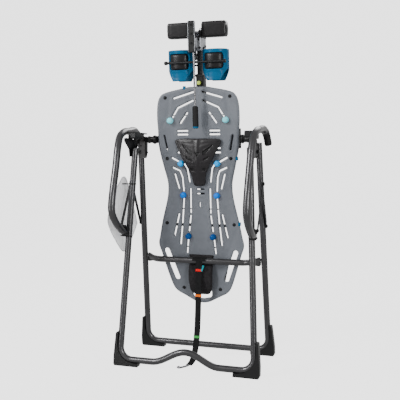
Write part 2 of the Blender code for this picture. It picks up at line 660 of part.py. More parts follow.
def lumbar_bridge():
    """The moulded lumbar support: an arch with a shield outline, standing off the bed."""
    half = [(0.060, 0.004), (0.106, 0.001), (0.121, -0.013), (0.098, -0.060), (0.080, -0.098),
            (0.061, -0.132), (0.040, -0.178), (0.031, -0.226), (0.021, -0.238)]
    outline = half + [(-x, z) for x, z in reversed(half)]
    eye = [(0.080, -0.026), (0.073, -0.035), (0.052, -0.062), (0.028, -0.078), (0.028, -0.062), (0.054, -0.045)]
    rib = [(0.060, -0.086), (0.056, -0.096), (0.032, -0.106), (0.034, -0.097)]
    port = [(0.026, -0.146), (0.040, -0.146), (0.036, -0.158), (0.024, -0.158)]
    nose = [(-0.013, -0.064), (0.013, -0.064), (0.0, -0.085)]
    edges, verts = [], []
    loops = [outline, nose] + [[(side * x, z) for x, z in hole] for hole in (eye, rib, port) for side in (1, -1)]
    for loop in loops:
        first = len(verts)
        verts += [Vector(p) for p in loop]
        edges += [(first + k, first + (k + 1) % len(loop)) for k in range(len(loop))]
    for i in range(-3, 4):
        for j in range(-7, 0):
            point = (i * 0.030 + 0.001, j * 0.032 - 0.003)
            if inside(point, outline) and not any(inside(point, h) for h in loops[1:]):
                verts.append(Vector(point))
    flat, _, faces, *_ = delaunay_2d_cdt(verts, edges, [], 0, 1e-6)

    def lift(x, z):
        return 0.008 + 0.032 * max(0.0, 1 - (x / 0.140) ** 2) * math.exp(-((z + 0.09) / 0.11) ** 2)

    bm = bmesh.new()
    layers = []
    for thick in (0.0, 0.005):
        layers.append([bm.verts.new((p.x, bed_face(p.x, p.y) - lift(p.x, p.y) - 0.001 + thick, p.y))
                       for p in flat])
    seen = {}
    for face in faces:
        x = sum(flat[k].x for k in face) / len(face)
        z = sum(flat[k].y for k in face) / len(face)
        if not inside((x, z), outline) or any(inside((x, z), h) for h in loops[1:]):
            continue
        bm.faces.new([layers[0][k] for k in face])
        bm.faces.new([layers[1][k] for k in reversed(face)])
        for a, b in zip(face, list(face[1:]) + [face[0]]):
            seen[(a, b)] = True
    for a, b in seen:
        if (b, a) not in seen:
            bm.faces.new((layers[0][b], layers[0][a], layers[1][a], layers[1][b]))
    bmesh.ops.delete(bm, geom=[v for v in bm.verts if not v.link_faces], context="VERTS")
    return bm


def pressure_node(x, z):
    """A domed massage node on its round base, with its foot just above the bed's face."""
    face = min(bed_face(abs(x) + 0.016, z + dz) for dz in (-0.016, 0.016)) - 0.0006
    radius, profile = 0.0158, [(0.0, 0.0150), (0.004, 0.0158), (0.010, 0.0150)]
    profile += [(0.010 + 0.012 * math.sin(a), radius * math.cos(a) * 0.95)
                for a in (math.radians(d) for d in (30, 60, 82))]
    return turned(profile, (x, face, z), (0, -1, 0), 12)


def pillow():
    """The head pillow: flat under the crossbar, full below it."""
    side_profile = [(-0.574, 0.0105), (-0.574, 0.0020), (-0.640, 0.0015), (-0.656, -0.016), (-0.680, -0.032),
                    (-0.730, -0.038), (-0.780, -0.030), (-0.803, -0.008), (-0.803, 0.0105)]
    widths = [(-0.074, 0.55), (-0.062, 1.0), (0.062, 1.0), (0.074, 0.55)]
    bm = bmesh.new()
    rings = []
    for x, puff in widths:
        rings.append([bm.verts.new((x * (1 - 1.1 * max(0.0, -0.640 - z)), 0.0105 + (y - 0.0105) * puff, z))
                      for z, y in side_profile])
    for a, b in zip(rings, rings[1:]):
        bridge(bm, a, b)
    bm.faces.new(list(reversed(rings[0])))
    bm.faces.new(rings[-1])
    return bm


def shaft_sleeve():
    """The housing that the main shaft slides through, with a collar at the feet end."""
    near, far = SHAFT_CENTRE - SHAFT_DEEP / 2, SHAFT_CENTRE + SHAFT_DEEP / 2
    half = SHAFT_WIDE / 2
    shell = box((-half - 0.007, near - 0.007, 0.120), (half + 0.007, far + 0.007, 0.326), 0.004, 1)
    obj = add_piece("shaft_sleeve", shell, "bed", "black_plastic")
    bridge_plate = [(-0.052, 0.0520), (0.052, 0.0520), (0.052, 0.0570), (-0.052, 0.0570)]
    cut(obj, slab(bridge_plate, 0.199, 0.220, along_z), "bed", "plate", "UNION")
    way = box((-half - GAP, near - GAP, 0.10), (half + GAP, far + GAP, 0.35))
    cut(obj, way, "bed", "shaft_way")
    pin_way = rod((0, near - 0.02, 0.281), (0, near + 0.004, 0.281), 0.0052, 12)
    cut(obj, pin_way, "bed", "pin_way")


def height_pin():
    near = SHAFT_CENTRE - SHAFT_DEEP / 2
    front = near - 0.0265
    profile = [(0, 0.0085), (0.002, 0.0100), (0.012, 0.0100), (0.0125, 0.0045), (0.0255, 0.0045)]
    knob = turned(profile, (0, front, 0.281), (0, 1, 0), 16)
    add_piece("height_pin", knob, "height_pin", "knob_yellow")


def bed():
    add_piece("bed_shell", bed_plate(), "bed", "bed_plastic")
    rails = add_piece("bed_rails", bed_rails(), "bed", "dark_steel")
    tie = rod((-RAIL_TIE_X, RAIL_DEPTH, RAIL_TIE_Z), (RAIL_TIE_X, RAIL_DEPTH, RAIL_TIE_Z), 0.008, 8)
    cut(rails, tie, "bed", "tie", "UNION")
    add_piece("lumbar_bridge", lumbar_bridge(), "bed", "lumbar_plastic")
    add_piece("head_pillow", pillow(), "bed", "fabric")
    finishes = ["node_light", "node_cyan", "node_blue", "node_deep"]
    rows = ["shoulder", "upper", "waist", "hip"]
    for row, (x, z), finish in zip(rows, NODE_PLACES, finishes):
        for label, side in (("left", -1), ("right", 1)):
            add_piece(f"pressure_node_{row}_{label}", pressure_node(side * x, z), "bed", finish)
    shaft_sleeve()
    height_pin()


# ---------------------------------------------------------------- ankle system

def main_shaft():
    near, far = SHAFT_CENTRE - SHAFT_DEEP / 2, SHAFT_CENTRE + SHAFT_DEEP / 2
    half = SHAFT_WIDE / 2
    bm = box((-half, near, SHAFT_LOW), (half, far, SHAFT_HIGH))
    obj = add_piece("main_shaft", bm, "main_shaft", "dark_steel")
    wall = 0.002
    cut(obj, box((-half + wall, near + wall, SHAFT_LOW - 0.01), (half - wall, far - wall, SHAFT_HIGH + 0.01)),
        "main_shaft", "bore")


def ankle_yoke():
    """The bright bracket on the shaft's end, which holds the foot platform."""
    near, far = SHAFT_CENTRE - SHAFT_DEEP / 2, SHAFT_CENTRE + SHAFT_DEEP / 2
    half = SHAFT_WIDE / 2 + 0.010
    yoke = box((-half, 0.012, 0.438), (half, far + 0.008, 0.5355), 0.004, 1)
    obj = add_piece("ankle_yoke", yoke, "main_shaft", "bare_steel")
    way = SHAFT_WIDE / 2 + GAP
    cut(obj, box((-way, near - GAP, 0.42), (way, far + GAP, SHAFT_HIGH + GAP)), "main_shaft", "shaft_way")
    cut(obj, box((-0.013, -0.01, 0.507), (0.013, 0.052, 0.56)), "main_shaft", "clevis_way")
    platform_rod = rod((-0.05, PLATFORM_DEPTH, ROD_Z), (0.05, PLATFORM_DEPTH, ROD_Z), 0.0066, 12)
    cut(obj, platform_rod, "main_shaft", "platform_rod_way")


def foot_platform():
    """Two foot rests on one rod. Off centre on it, so that turning them over changes the height."""
    drop = PLATFORM_Z - ROD_Z
    end, inner, tall = PLATFORM_HALF, PLATFORM_IN, PLATFORM_TALL
    sections = [(-end, tall - 0.009), (-end + 0.008, tall), (-inner - 0.006, tall), (-inner, tall - 0.006),
                (-inner + 0.0005, ROD_RADIUS), (inner - 0.0005, ROD_RADIUS), (inner, tall - 0.006),
                (inner + 0.006, tall), (end - 0.008, tall), (end, tall - 0.009)]
    path = [Vector((x, PLATFORM_DEPTH, ROD_Z + (drop if size > ROD_RADIUS else 0))) for x, size in sections]
    sizes = [(0.8 * size if size > ROD_RADIUS else size, size) for x, size in sections]
    bm = bmesh.new()
    rings = [ring(bm, p, Vector((1, 0, 0)), Vector((0, 1, 0)), *size, 12, size[1] > ROD_RADIUS)
             for p, size in zip(path, sizes)]
    for a, b in zip(rings, rings[1:]):
        bridge(bm, a, b)
    bm.faces.new(rings[0])
    bm.faces.new(list(reversed(rings[-1])))
    add_piece("foot_platform", bm, "foot_platform", "foam")


def cup_outline(inner, outer, steps=6):
    """A channel round the ankle in the x, y plane: a U open towards -y."""
    return [(outer[0] * math.cos(a), outer[1] * math.sin(a)) for a in
            (math.pi * k / steps for k in range(steps + 1))] + \
           [(inner[0] * math.cos(a), inner[1] * math.sin(a)) for a in
            (math.pi * (steps - k) / steps for k in range(steps + 1))]


def corner_cuts(obj, body, side):
    """The slanted lower corners of a cup."""
    wide, tall = CUP_CORNER
    for inner, outer, label in ((CUP_OUT - wide, CUP_OUT + 0.01, "outer"), (CUP_IN + wide, CUP_IN - 0.01, "inner")):
        slope = tall / wide * (abs(outer - inner))
        wedge = [(inner, CUP_LOW - 0.002), (inner, CUP_LOW), (outer, CUP_LOW + slope), (outer, CUP_LOW - 0.002)]
        cut(obj, on_side(slab(wedge, -0.08, 0.16, along_y), side), body, label + "_corner")


def ankle_cups(label, side):
    centre = (CUP_IN + CUP_OUT) / 2
    half = (CUP_OUT - CUP_IN) / 2
    rear = [(centre + u, ANKLE_Y + 0.006 + v) for u, v in cup_outline((half - 0.006, 0.050), (half, 0.056))]
    obj = add_piece("rear_cup_" + label, on_side(slab(rear, CUP_LOW, CUP_HIGH, along_z), side),
                    "main_shaft", "cup_blue")
    corner_cuts(obj, "main_shaft", side)
    front = [(centre + u, ANKLE_Y - 0.006 - v) for u, v in cup_outline((half - 0.006, 0.050), (half, 0.056))]
    shell = slab(front, CUP_LOW, CUP_HIGH, along_z)
    obj = add_piece("front_cup_" + label, on_side(shell, side), "front_cups", "cup_blue")
    window = box((centre - 0.046, -0.05, 0.346), (centre + 0.046, ANKLE_Y - 0.012, 0.424))
    cut(obj, on_side(window, side), "front_cups", "window")
    corner_cuts(obj, "front_cups", side)
    section = cup_outline((half - 0.022, 0.034), (half - 0.0065, 0.0495))
    pad = slab([(centre + u, ANKLE_Y - 0.006 - v) for u, v in section], 0.346, 0.436, along_z)
    obj = add_piece("front_pad_" + label, on_side(pad, side), "front_cups", "foam")
    block = box((centre - PAD_HALF, PAD_FRONT, PAD_LOW), (centre + PAD_HALF, 0.004, PAD_HIGH), 0.006, 1)
    cut(obj, on_side(block, side), "front_cups", "block", "UNION")


def ankle_frame():
    """The rods that carry the cups, and the long lever that locks them."""
    rear_rod = rod((-0.120, ANKLE_Y + 0.0680, 0.372), (0.120, ANKLE_Y + 0.0680, 0.372), 0.0045, 10)
    add_piece("rear_cup_rod", rear_rod, "main_shaft", "dark_steel")
    front_rod = rod((-CUP_ROD_END, CUP_ROD_Y, 0.380), (CUP_ROD_END, CUP_ROD_Y, 0.380), CUP_ROD_RADIUS, 10)
    add_piece("front_cup_rod", front_rod, "front_cups", "dark_steel")
    arm = box((LEVER_X - 0.017, LEVER_Y - 0.009, 0.425), (LEVER_X + 0.017, LEVER_Y + 0.009, 0.578), 0.004, 1)
    add_piece("lever_channel", arm, "ankle_lever", "black_plastic")
    arm_rod = rod((-0.001, LEVER_Y - 0.004, 0.4245), (0.001, LEVER_Y - 0.004, 0.166), 0.0048, 10)
    add_piece("lever_rod", arm_rod, "ankle_lever", "bare_steel")
    grip = turned([(0, 0.011), (0.004, 0.0138), (0.086, 0.0150), (0.098, 0.0155), (0.101, 0.012)],
                  (0.001, LEVER_Y - 0.004, 0.1655), (0.0, 0.0, -1.0), 12)
    add_piece("lever_grip", grip, "ankle_lever", "foam")


def make_bodies():
    add_body("front_frame", None, (0, 0, 0))
    BODIES["front_frame"][0].location.y = STAND_SHIFT_Y
    add_body("rear_frame", "front_frame", (0, HINGE_Y, HINGE_Z))
    add_body("front_spreaders", "front_frame", (0, SPREADER_FRONT_Y, SPREADER_Z))
    add_body("rear_spreaders", "rear_frame", (0, SPREADER_REAR_Y, SPREADER_Z))
    add_body("axle_lock_left", "front_frame", (0, 0.030, HINGE_Z))
    add_body("axle_lock_right", "front_frame", (0, 0.030, HINGE_Z))
    add_body("bed", "front_frame", (0, 0, AXLE_HEIGHT), BED_TILT)
    add_body("height_pin", "bed", (0, 0, 0.281))
    add_body("main_shaft", "bed", (0, SHAFT_CENTRE, 0))
    add_body("foot_platform", "main_shaft", (0, PLATFORM_DEPTH, ROD_Z))
    add_body("front_cups", "main_shaft", (0, ANKLE_Y, 0.372))
    add_body("ankle_lever", "main_shaft", (LEVER_X, LEVER_Y, LEVER_PIVOT_Z))


def main():
    clear_scene()
    make_bodies()
    frames()
    crossbar()
    for label, side in (("left", -1), ("right", 1)):
        frame_hinge(label, side)
        handlebar(label, side)
        spreader(label, side)
        roller_hinge(label, side)
        ankle_cups(label, side)
    caddy()
    tether()
    bed()
    main_shaft()
    ankle_yoke()
    foot_platform()
    ankle_frame()


main()
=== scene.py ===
"""The looks of a home inversion table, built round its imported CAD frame.

Metres, +Z up. Bed pieces are placed by bed_point(x, n, s): x across, n into the
bed's back and s along it towards the feet end, all from the bed's axle.
"""

import json
import math

import bmesh
import bpy
import numpy as np
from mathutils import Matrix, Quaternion, Vector
from mathutils.geometry import delaunay_2d_cdt


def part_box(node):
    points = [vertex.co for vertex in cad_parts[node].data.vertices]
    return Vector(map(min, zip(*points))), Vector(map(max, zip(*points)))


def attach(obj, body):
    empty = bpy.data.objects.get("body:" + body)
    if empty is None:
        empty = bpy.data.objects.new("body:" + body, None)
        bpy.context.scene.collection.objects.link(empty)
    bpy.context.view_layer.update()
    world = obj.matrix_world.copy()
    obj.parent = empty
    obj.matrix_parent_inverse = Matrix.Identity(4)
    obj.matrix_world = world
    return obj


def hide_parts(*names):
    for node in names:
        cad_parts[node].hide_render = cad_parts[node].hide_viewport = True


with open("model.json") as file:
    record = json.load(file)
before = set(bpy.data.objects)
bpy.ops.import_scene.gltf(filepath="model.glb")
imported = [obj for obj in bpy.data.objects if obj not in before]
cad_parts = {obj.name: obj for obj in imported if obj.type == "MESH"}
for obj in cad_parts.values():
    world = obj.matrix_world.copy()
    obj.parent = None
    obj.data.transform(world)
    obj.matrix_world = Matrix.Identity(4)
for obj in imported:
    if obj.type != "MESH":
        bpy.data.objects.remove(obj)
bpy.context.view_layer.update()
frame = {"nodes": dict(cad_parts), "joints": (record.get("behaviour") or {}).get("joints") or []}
JOINTS = {joint["name"]: joint for joint in frame["joints"]}
AXLE = Vector(JOINTS["bed_rotation"]["pos_m"])
ALONG = Vector(JOINTS["shaft_slide"]["axis"])
OUT = Vector(JOINTS["front_cups_slide"]["axis"])
SHIFT = Vector((0.0, AXLE.y, 0.0))
SIDES = (("left", -1), ("right", 1))

# Frame tubes, with the axle's line at y = 0 before SHIFT
TUBE_RADIUS, TUBE_SIDES = 0.016, 28
REAR_Y, REAR_X, REAR_LEAN_Y, REAR_LEAN_X, REAR_TOP = -0.200, 0.343, 0.0833, -0.046, 1.075
FRONT_Y, FRONT_X, FRONT_LEAN_Y, FRONT_LEAN_X, FRONT_TOP = 0.186, 0.337, -0.1627, -0.0235, 1.105
BASE_HEIGHT, BASE_BEND, BASE_STRAIGHT = 0.030, 0.075, 0.21
HUMP_HEIGHT, HUMP_HALF = 0.059, 0.172
CROSSBAR_HEIGHT, CROSSBAR_BACK, CROSSBAR_FRONT, CROSSBAR_STRAIGHT = 0.503, 0.104, 0.042, 0.228
HANDLEBAR_RADIUS = 0.0175
HANDLEBAR_ROUTE = [
    (0.325, -0.1775, 0.660), (0.326, -0.222, 0.682), (0.3265, -0.280, 0.722), (0.327, -0.322, 0.775),
    (0.327, -0.314, 0.850), (0.328, -0.272, 0.980), (0.330, -0.244, 1.075), (0.334, -0.208, 1.132),
    (0.3365, -0.150, 1.158), (0.3365, -0.095, 1.164), (0.3370, -0.045, 1.171), (0.3385, -0.008, 1.171),
    (0.3405, 0.020, 1.160),
]
HORN_ROUTE = [
    (0.3406, 0.0211, 1.1593), (0.3410, 0.0257, 1.1561), (0.344, 0.040, 1.139), (0.347, 0.051, 1.116),
    (0.350, 0.057, 1.092),
]
HINGE = (-0.050, 1.060)
HINGE_FINISHES = (
    ("hinge_plate", "pressed_steel", 0.0008), ("hinge_strap", "dark_steel", 0.0008),
    ("hinge_cover", "black_plastic", 0.003), ("rear_leg_cap", "black_plastic", 0.001),
    ("axle_lock", "dark_steel", 0.0009), ("hinge_pin", "dark_steel", 0.0008),
)
SPREADER_ENDS = {"front": (0.0745, 0.690), "rear": (-0.168, 0.690)}
SPREADER_MIDDLE = (-0.045, 0.905)

# Tether
STRAP_HALF, STRAP_THICK = 0.016, 0.0024
STRAP_RING, LOOP_HALF, HOOK_RADIUS = TUBE_RADIUS + 0.0018, 0.036, 0.0045
STRAP_MARKS = (("mark_red", 0.079), ("mark_orange", 0.235), ("mark_green", 0.515))
MARK_HALF, MARK_PROUD = 0.006, 0.0006
STRAP_ROUTE = [
    (0.0, CROSSBAR_FRONT - STRAP_RING, CROSSBAR_HEIGHT), (0.0, 0.0225, 0.440), (0.0, 0.019, 0.360),
    (0.0, 0.016, 0.270), (0.0, 0.009, 0.190), (0.0, -0.004, 0.125), (0.0, -0.022, 0.075),
    (-0.001, -0.044, 0.038), (-0.002, -0.068, 0.016), (-0.004, -0.092, 0.0075), (-0.006, -0.118, 0.0045),
]
HOOK_ROUTE = [
    (-0.0062, -0.1215, 0.0052), (-0.012, -0.137, 0.0054), (-0.024, -0.158, 0.0054),
    (-0.038, -0.174, 0.0054), (-0.047, -0.170, 0.0054), (-0.044, -0.158, 0.0054),
]

# Pouch, outside the left rear leg: its outline as (y, z)
CADDY_X = -0.3575
CADDY_OUTLINE = [
    (-0.150, 0.915), (-0.120, 0.932), (-0.080, 0.925), (-0.030, 0.860), (0.060, 0.705),
    (0.056, 0.672), (-0.020, 0.602), (-0.080, 0.567), (-0.130, 0.563), (-0.228, 0.640),
    (-0.290, 0.705), (-0.293, 0.750), (-0.228, 0.850),
]

# Bed plate, from the feet end to the head end: (half width, s)
BED_OUTLINE = [
    (0.045, 0.262), (0.165, 0.237), (0.199, 0.214), (0.213, 0.172), (0.2165, 0.105),
    (0.2135, 0.045), (0.2125, -0.030), (0.192, -0.130), (0.1745, -0.205), (0.171, -0.250),
    (0.178, -0.310), (0.205, -0.420), (0.221, -0.500), (0.229, -0.545), (0.2145, -0.592),
    (0.197, -0.650), (0.164, -0.752), (0.139, -0.794), (0.090, -0.823), (0.040, -0.850), (0.012, -0.857),
]
BED_SLOTS = [
    (0.008, [(0.024, 0.236), (0.125, 0.206)]),
    (0.008, [(0.027, 0.193), (0.106, 0.158), (0.134, 0.113)]),
    (0.008, [(0.058, 0.132), (0.094, 0.082)]),
    (0.008, [(0.060, 0.042), (0.109, 0.042)]),
    (0.008, [(0.060, 0.0235), (0.109, 0.0235)]),
    (0.008, [(0.060, -0.046), (0.111, -0.046)]),
    (0.008, [(0.060, -0.068), (0.111, -0.068)]),
    (0.008, [(0.180, 0.018), (0.167, -0.052)]),
    (0.008, [(0.146, -0.094), (0.109, -0.115)]),
    (0.008, [(0.142, -0.145), (0.106, -0.162), (0.094, -0.194), (0.089, -0.265)]),
    (0.008, [(0.089, -0.307), (0.098, -0.424), (0.111, -0.544)]),
    (0.008, [(0.080, -0.128), (0.066, -0.150), (0.056, -0.218)]),
    (0.008, [(0.052, -0.256), (0.053, -0.378)]),
    (0.008, [(0.054, -0.396), (0.064, -0.474)]),
    (0.008, [(0.070, -0.520), (0.077, -0.590)]),
    (0.008, [(0.132, -0.180), (0.113, -0.252)]),
    (0.008, [(0.116, -0.388), (0.143, -0.502)]),
    (0.026, [(0.185, -0.580), (0.133, -0.724)]),
]
CENTRE_SLOTS = [
    (0.006, [(-0.016, -0.257), (0.020, -0.257)]), (0.006, [(-0.016, -0.280), (0.020, -0.280)]),
    (0.006, [(-0.003, -0.328), (-0.003, -0.346)]),
]
WINDOW_HALF = [(0.010, -0.834), (0.044, -0.826), (0.051, -0.816), (0.051, -0.792)]
BED_WINDOW = [(-x, s) for x, s in reversed(WINDOW_HALF)] + WINDOW_HALF
BED_PLATE, BED_DISH, EDGE_ROUND = 0.012, 0.014, 0.004
BED_CREASES = [
    (0.006, 0.0036, [(0.150, 0.205), (0.156, 0.140), (0.165, 0.121), (0.190, 0.060)]),
    (0.006, 0.0022, [(0.199, -0.450), (0.135, -0.608)]),
    (0.005, 0.0014, [(0.143, -0.276), (0.161, -0.276)]),
    (0.005, 0.0014, [(0.143, -0.310), (0.161, -0.310)]),
    (0.005, 0.0014, [(0.143, -0.344), (0.161, -0.344)]),
]
BED_SCREWS = [(0.1695, 0.2105), (0.1685, -0.0975), (0.180, -0.4335), (0.099, -0.7785)]
NODE_ROWS = {
    "shoulder": ((0.1455, 0.095), "node_light"), "upper": ((0.0965, -0.1235), "node_cyan"),
    "waist": ((0.0895, -0.288), "node_blue"), "hip": ((0.066, -0.5025), "node_deep"),
}
RAIL_RADIUS, RAIL_DEPTH, RAIL_TIE_X, RAIL_TIE_S = 0.011, 0.0385, 0.1688, -0.447
RAIL_HALF = [
    (0.034, 0.213), (0.112, 0.181), (0.168, 0.158), (0.165, -0.100), (0.152, -0.250), (0.178, -0.436),
    (0.099, -0.782),
]
BRIDGE_HALF = [
    (0.060, 0.004), (0.106, 0.001), (0.121, -0.013), (0.098, -0.060), (0.080, -0.098),
    (0.061, -0.132), (0.040, -0.178), (0.031, -0.226), (0.021, -0.238),
]
BRIDGE_RIBS = [
    [(0.030, -0.010), (0.098, -0.010)], [(0.020, -0.036), (0.060, -0.026), (0.090, -0.020)],
    [(0.020, -0.118), (0.058, -0.110)], [(0.018, -0.132), (0.046, -0.132)], [(0.014, -0.168), (0.030, -0.168)],
    [(0.010, -0.186), (0.026, -0.224)],
]
# Outline of the black sheet behind the lumbar shield: painted shade seen through its openings
EYE_SHADE_SHEET_HALF = [(0.093, -0.014), (0.088, -0.034), (0.064, -0.098), (0.043, -0.150), (0.040, -0.166)]
BRIDGE_NOSE = [(-0.013, -0.064), (0.013, -0.064), (0.0, -0.085)]
BRIDGE_HOLES = [
    [(0.080, -0.026), (0.073, -0.035), (0.052, -0.062), (0.028, -0.078), (0.028, -0.062), (0.054, -0.045)],
    [(0.060, -0.086), (0.056, -0.096), (0.032, -0.106), (0.034, -0.097)],
    [(0.026, -0.146), (0.040, -0.146), (0.036, -0.158), (0.024, -0.158)],
]
# Pillow, from its tongue down: (s, half width, back n, front n)
PILLOW_RINGS = [
    (-0.592, 0.070, 0.0100, 0.0030), (-0.640, 0.070, 0.0100, 0.0020), (-0.656, 0.070, 0.0100, -0.012),
    (-0.680, 0.069, 0.0100, -0.026), (-0.730, 0.066, 0.0100, -0.032), (-0.780, 0.058, 0.0100, -0.026),
    (-0.800, 0.048, 0.0100, -0.014), (-0.807, 0.036, 0.0090, 0.000),
]

# Ankle system
SHAFT_WIDE, SHAFT_DEEP, SHAFT_CENTRE, SHAFT_LOW, SHAFT_HIGH = 0.026, 0.042, 0.083, -0.44, 0.478
SHAFT_HOLES = 26
ANKLE_N, CUP_LOW, CUP_HIGH, CUP_IN, CUP_OUT = 0.050, 0.290, 0.443, 0.024, 0.155
ROD_S, PLATFORM_S, PLATFORM_N = 0.525, 0.5395, 0.040
PLATFORM_HALF, PLATFORM_IN, PLATFORM_TALL = 0.154, 0.026, 0.0385
CUP_CENTRE, CUP_HALF = (CUP_IN + CUP_OUT) / 2, (CUP_OUT - CUP_IN) / 2
CUP_DEEP, CUP_GAP, CUP_WALL, CUP_SWEEP = 0.056, 0.006, 0.006, 0.19
CUP_CORNER = (0.030, 0.055)
CUP_KINDS = {True: ("front", "front_cups"), False: ("rear", "main_shaft")}
FOAM_LOW, FOAM_HIGH, FOAM_INNER, FOAM_OUTER = 0.347, 0.434, 0.022, 0.0066
PAD_HALF, PAD_LOW, PAD_HIGH, PAD_FRONT = 0.0445, 0.3475, 0.4225, -0.0131
LEVER_X, LEVER_N = -0.009, -0.030

# The camera: where it stands, how it is turned, and its lens
CAMERA_PLACE = (0.964, -3.142, 0.993)
CAMERA_TURN, CAMERA_DROP, CAMERA_ROLL, LENS = 0.294, 0.053, 0.004, 58.5

# The studio's brightness, and each light's place, size and power
PAPER_GLOW, WORLD_STRENGTH, LIGHT_AIM = 2.5, 0.62, 0.8
STRIP_WIDE, STRIP_TALL = 0.20, 3.0
STRIP_LIGHTS = (("left_strip", (-1.9, -2.6, 1.3), 36.0), ("right_strip", (2.4, -2.2, 1.3), 26.0))
SQUARE_LIGHTS = (
    ("key_light", (-2.4, -3.0, 3.2), 1.0, 120.0), ("fill_light", (3.2, -2.6, 1.9), 1.2, 50.0),
    ("rim_light", (0.4, 3.0, 3.4), 2.0, 60.0),
)

BEVEL_SEGMENTS, CORNER_STEPS = 3, 6

MATERIALS = {}
TUBE_COLOUR = (0.062, 0.061, 0.064)


def bed_point(x, n, s):
    return AXLE + Vector((x, 0.0, 0.0)) - OUT * n + ALONG * s


def in_bed(point):
    return bed_point(*point)


def in_frame(x, y, z):
    """A frame point, with y measured from the axle's line."""
    return Vector((x, y, z)) + SHIFT


def shifted(points):
    return [in_frame(*point) for point in points]


def arc(first, last, step):
    """Angles in radians from first to last, both given in degrees."""
    return [math.radians(d) for d in range(first, last + 1, step)]


# ---------------------------------------------------------------- materials

def shader_of(made):
    return made.node_tree.nodes["Principled BSDF"]


def principled(name, colour, roughness, metallic=0.0, **more):
    made = bpy.data.materials.new(name)
    made.use_nodes = True
    shader = shader_of(made)
    shader.inputs["Base Color"].default_value = (*colour, 1.0)
    shader.inputs["Roughness"].default_value = roughness
    shader.inputs["Metallic"].default_value = metallic
    for key, value in more.items():
        shader.inputs[key.replace("_", " ")].default_value = value
    MATERIALS[name] = made
    return made


def add_node(made, kind, **values):
    item = made.node_tree.nodes.new(kind)
    for key, value in values.items():
        item.inputs[key.replace("_", " ")].default_value = value
    return item


def join(made, source, output, target, socket):
    made.node_tree.links.new(source.outputs[output], target.inputs[socket])


def noise(made, scale, detail=3.0, stretch=(1.0, 1.0, 1.0)):
    place = add_node(made, "ShaderNodeTexCoord")
    mapping = add_node(made, "ShaderNodeMapping", Scale=stretch)
    texture = add_node(made, "ShaderNodeTexNoise", Scale=scale, Detail=detail)
    join(made, place, "Object", mapping, "Vector")
    join(made, mapping, "Vector", texture, "Vector")
    return texture


def bump(made, height, output, strength, distance):
    relief = add_node(made, "ShaderNodeBump", Strength=strength, Distance=distance)
    join(made, height, output, relief, "Height")
    join(made, relief, "Normal", shader_of(made), "Normal")


def mottle(made, dark, light, scale, stretch=(1.0, 1.0, 1.0)):
    """Lets the colour drift a little between two shades."""
    ramp = add_node(made, "ShaderNodeValToRGB")
    ramp.color_ramp.elements[0].position = 0.35
    ramp.color_ramp.elements[1].position = 0.65
    ramp.color_ramp.elements[0].color = (*dark, 1.0)
    ramp.color_ramp.elements[1].color = (*light, 1.0)
    join(made, noise(made, scale, 4.0, stretch), "Fac", ramp, "Fac")
    join(made, ramp, "Color", shader_of(made), "Base Color")


def wear(made, low, high, scale):
    """Lets the roughness drift, as handling and polish do."""
    spread = add_node(made, "ShaderNodeMapRange", To_Min=low, To_Max=high)
    join(made, noise(made, scale, 5.0), "Fac", spread, "Value")
    join(made, spread, "Result", shader_of(made), "Roughness")


def weave(made, scale, strength, distance):
    """Over-and-under threads from two crossed sets of bands."""
    place = add_node(made, "ShaderNodeTexCoord")
    product = add_node(made, "ShaderNodeMath")
    product.operation = "MAXIMUM"
    for slot_index, direction in enumerate(("X", "Z")):
        bands = add_node(made, "ShaderNodeTexWave", Scale=scale, Distortion=0.4, Detail=1.0)
        bands.bands_direction = direction
        join(made, place, "Object", bands, "Vector")
        made.node_tree.links.new(bands.outputs["Fac"], product.inputs[slot_index])
    bump(made, product, "Value", strength, distance)


def shades(colour, spread):
    return [tuple(c * f for c in colour) for f in (1 - spread, 1 + spread)]


def finish(name, colour, roughness, drift, grain, relief, metallic=0.0, worn=None, **more):
    """A material with a drifting colour and a fine grain.

    drift is the colour's (spread, scale), grain the bump's noise, relief its
    (strength, distance), and worn the roughness's (low, high, scale).
    """
    made = principled(name, colour, roughness, metallic, **more)
    mottle(made, *shades(colour, drift[0]), *drift[1:])
    if worn:
        wear(made, *worn)
    bump(made, noise(made, *grain), "Fac", *relief)


def metals():
    finish("tube_steel", TUBE_COLOUR, 0.30, (0.08, 40.0), (1400.0,), (0.25, 0.0002), 0.75, Coat_Weight=0.4)
    finish("dark_steel", (0.014, 0.0145, 0.016), 0.42, (0.15, 60.0), (1200.0,), (0.3, 0.0002), 0.6)
    brushed = {"bare_steel": ((0.34, 0.35, 0.37), 0.34), "bare_aluminium": ((0.44, 0.45, 0.48), 0.38)}
    for name, (colour, rough) in brushed.items():
        finish(name, colour, rough, (0.08, 30.0, (1.0, 1.0, 0.1)), (500.0, 2.0, (1.0, 1.0, 0.03)),
               (0.15, 0.0002), 1.0)
    plated = principled("chrome", (0.22, 0.22, 0.23), 0.22, 1.0)
    wear(plated, 0.18, 0.3, 120.0)
    bump(plated, noise(plated, 60.0), "Fac", 0.05, 0.0002)
    finish("pressed_steel", (0.060, 0.056, 0.056), 0.45, (0.35, 260.0), (700.0,), (0.3, 0.0002), 0.5)


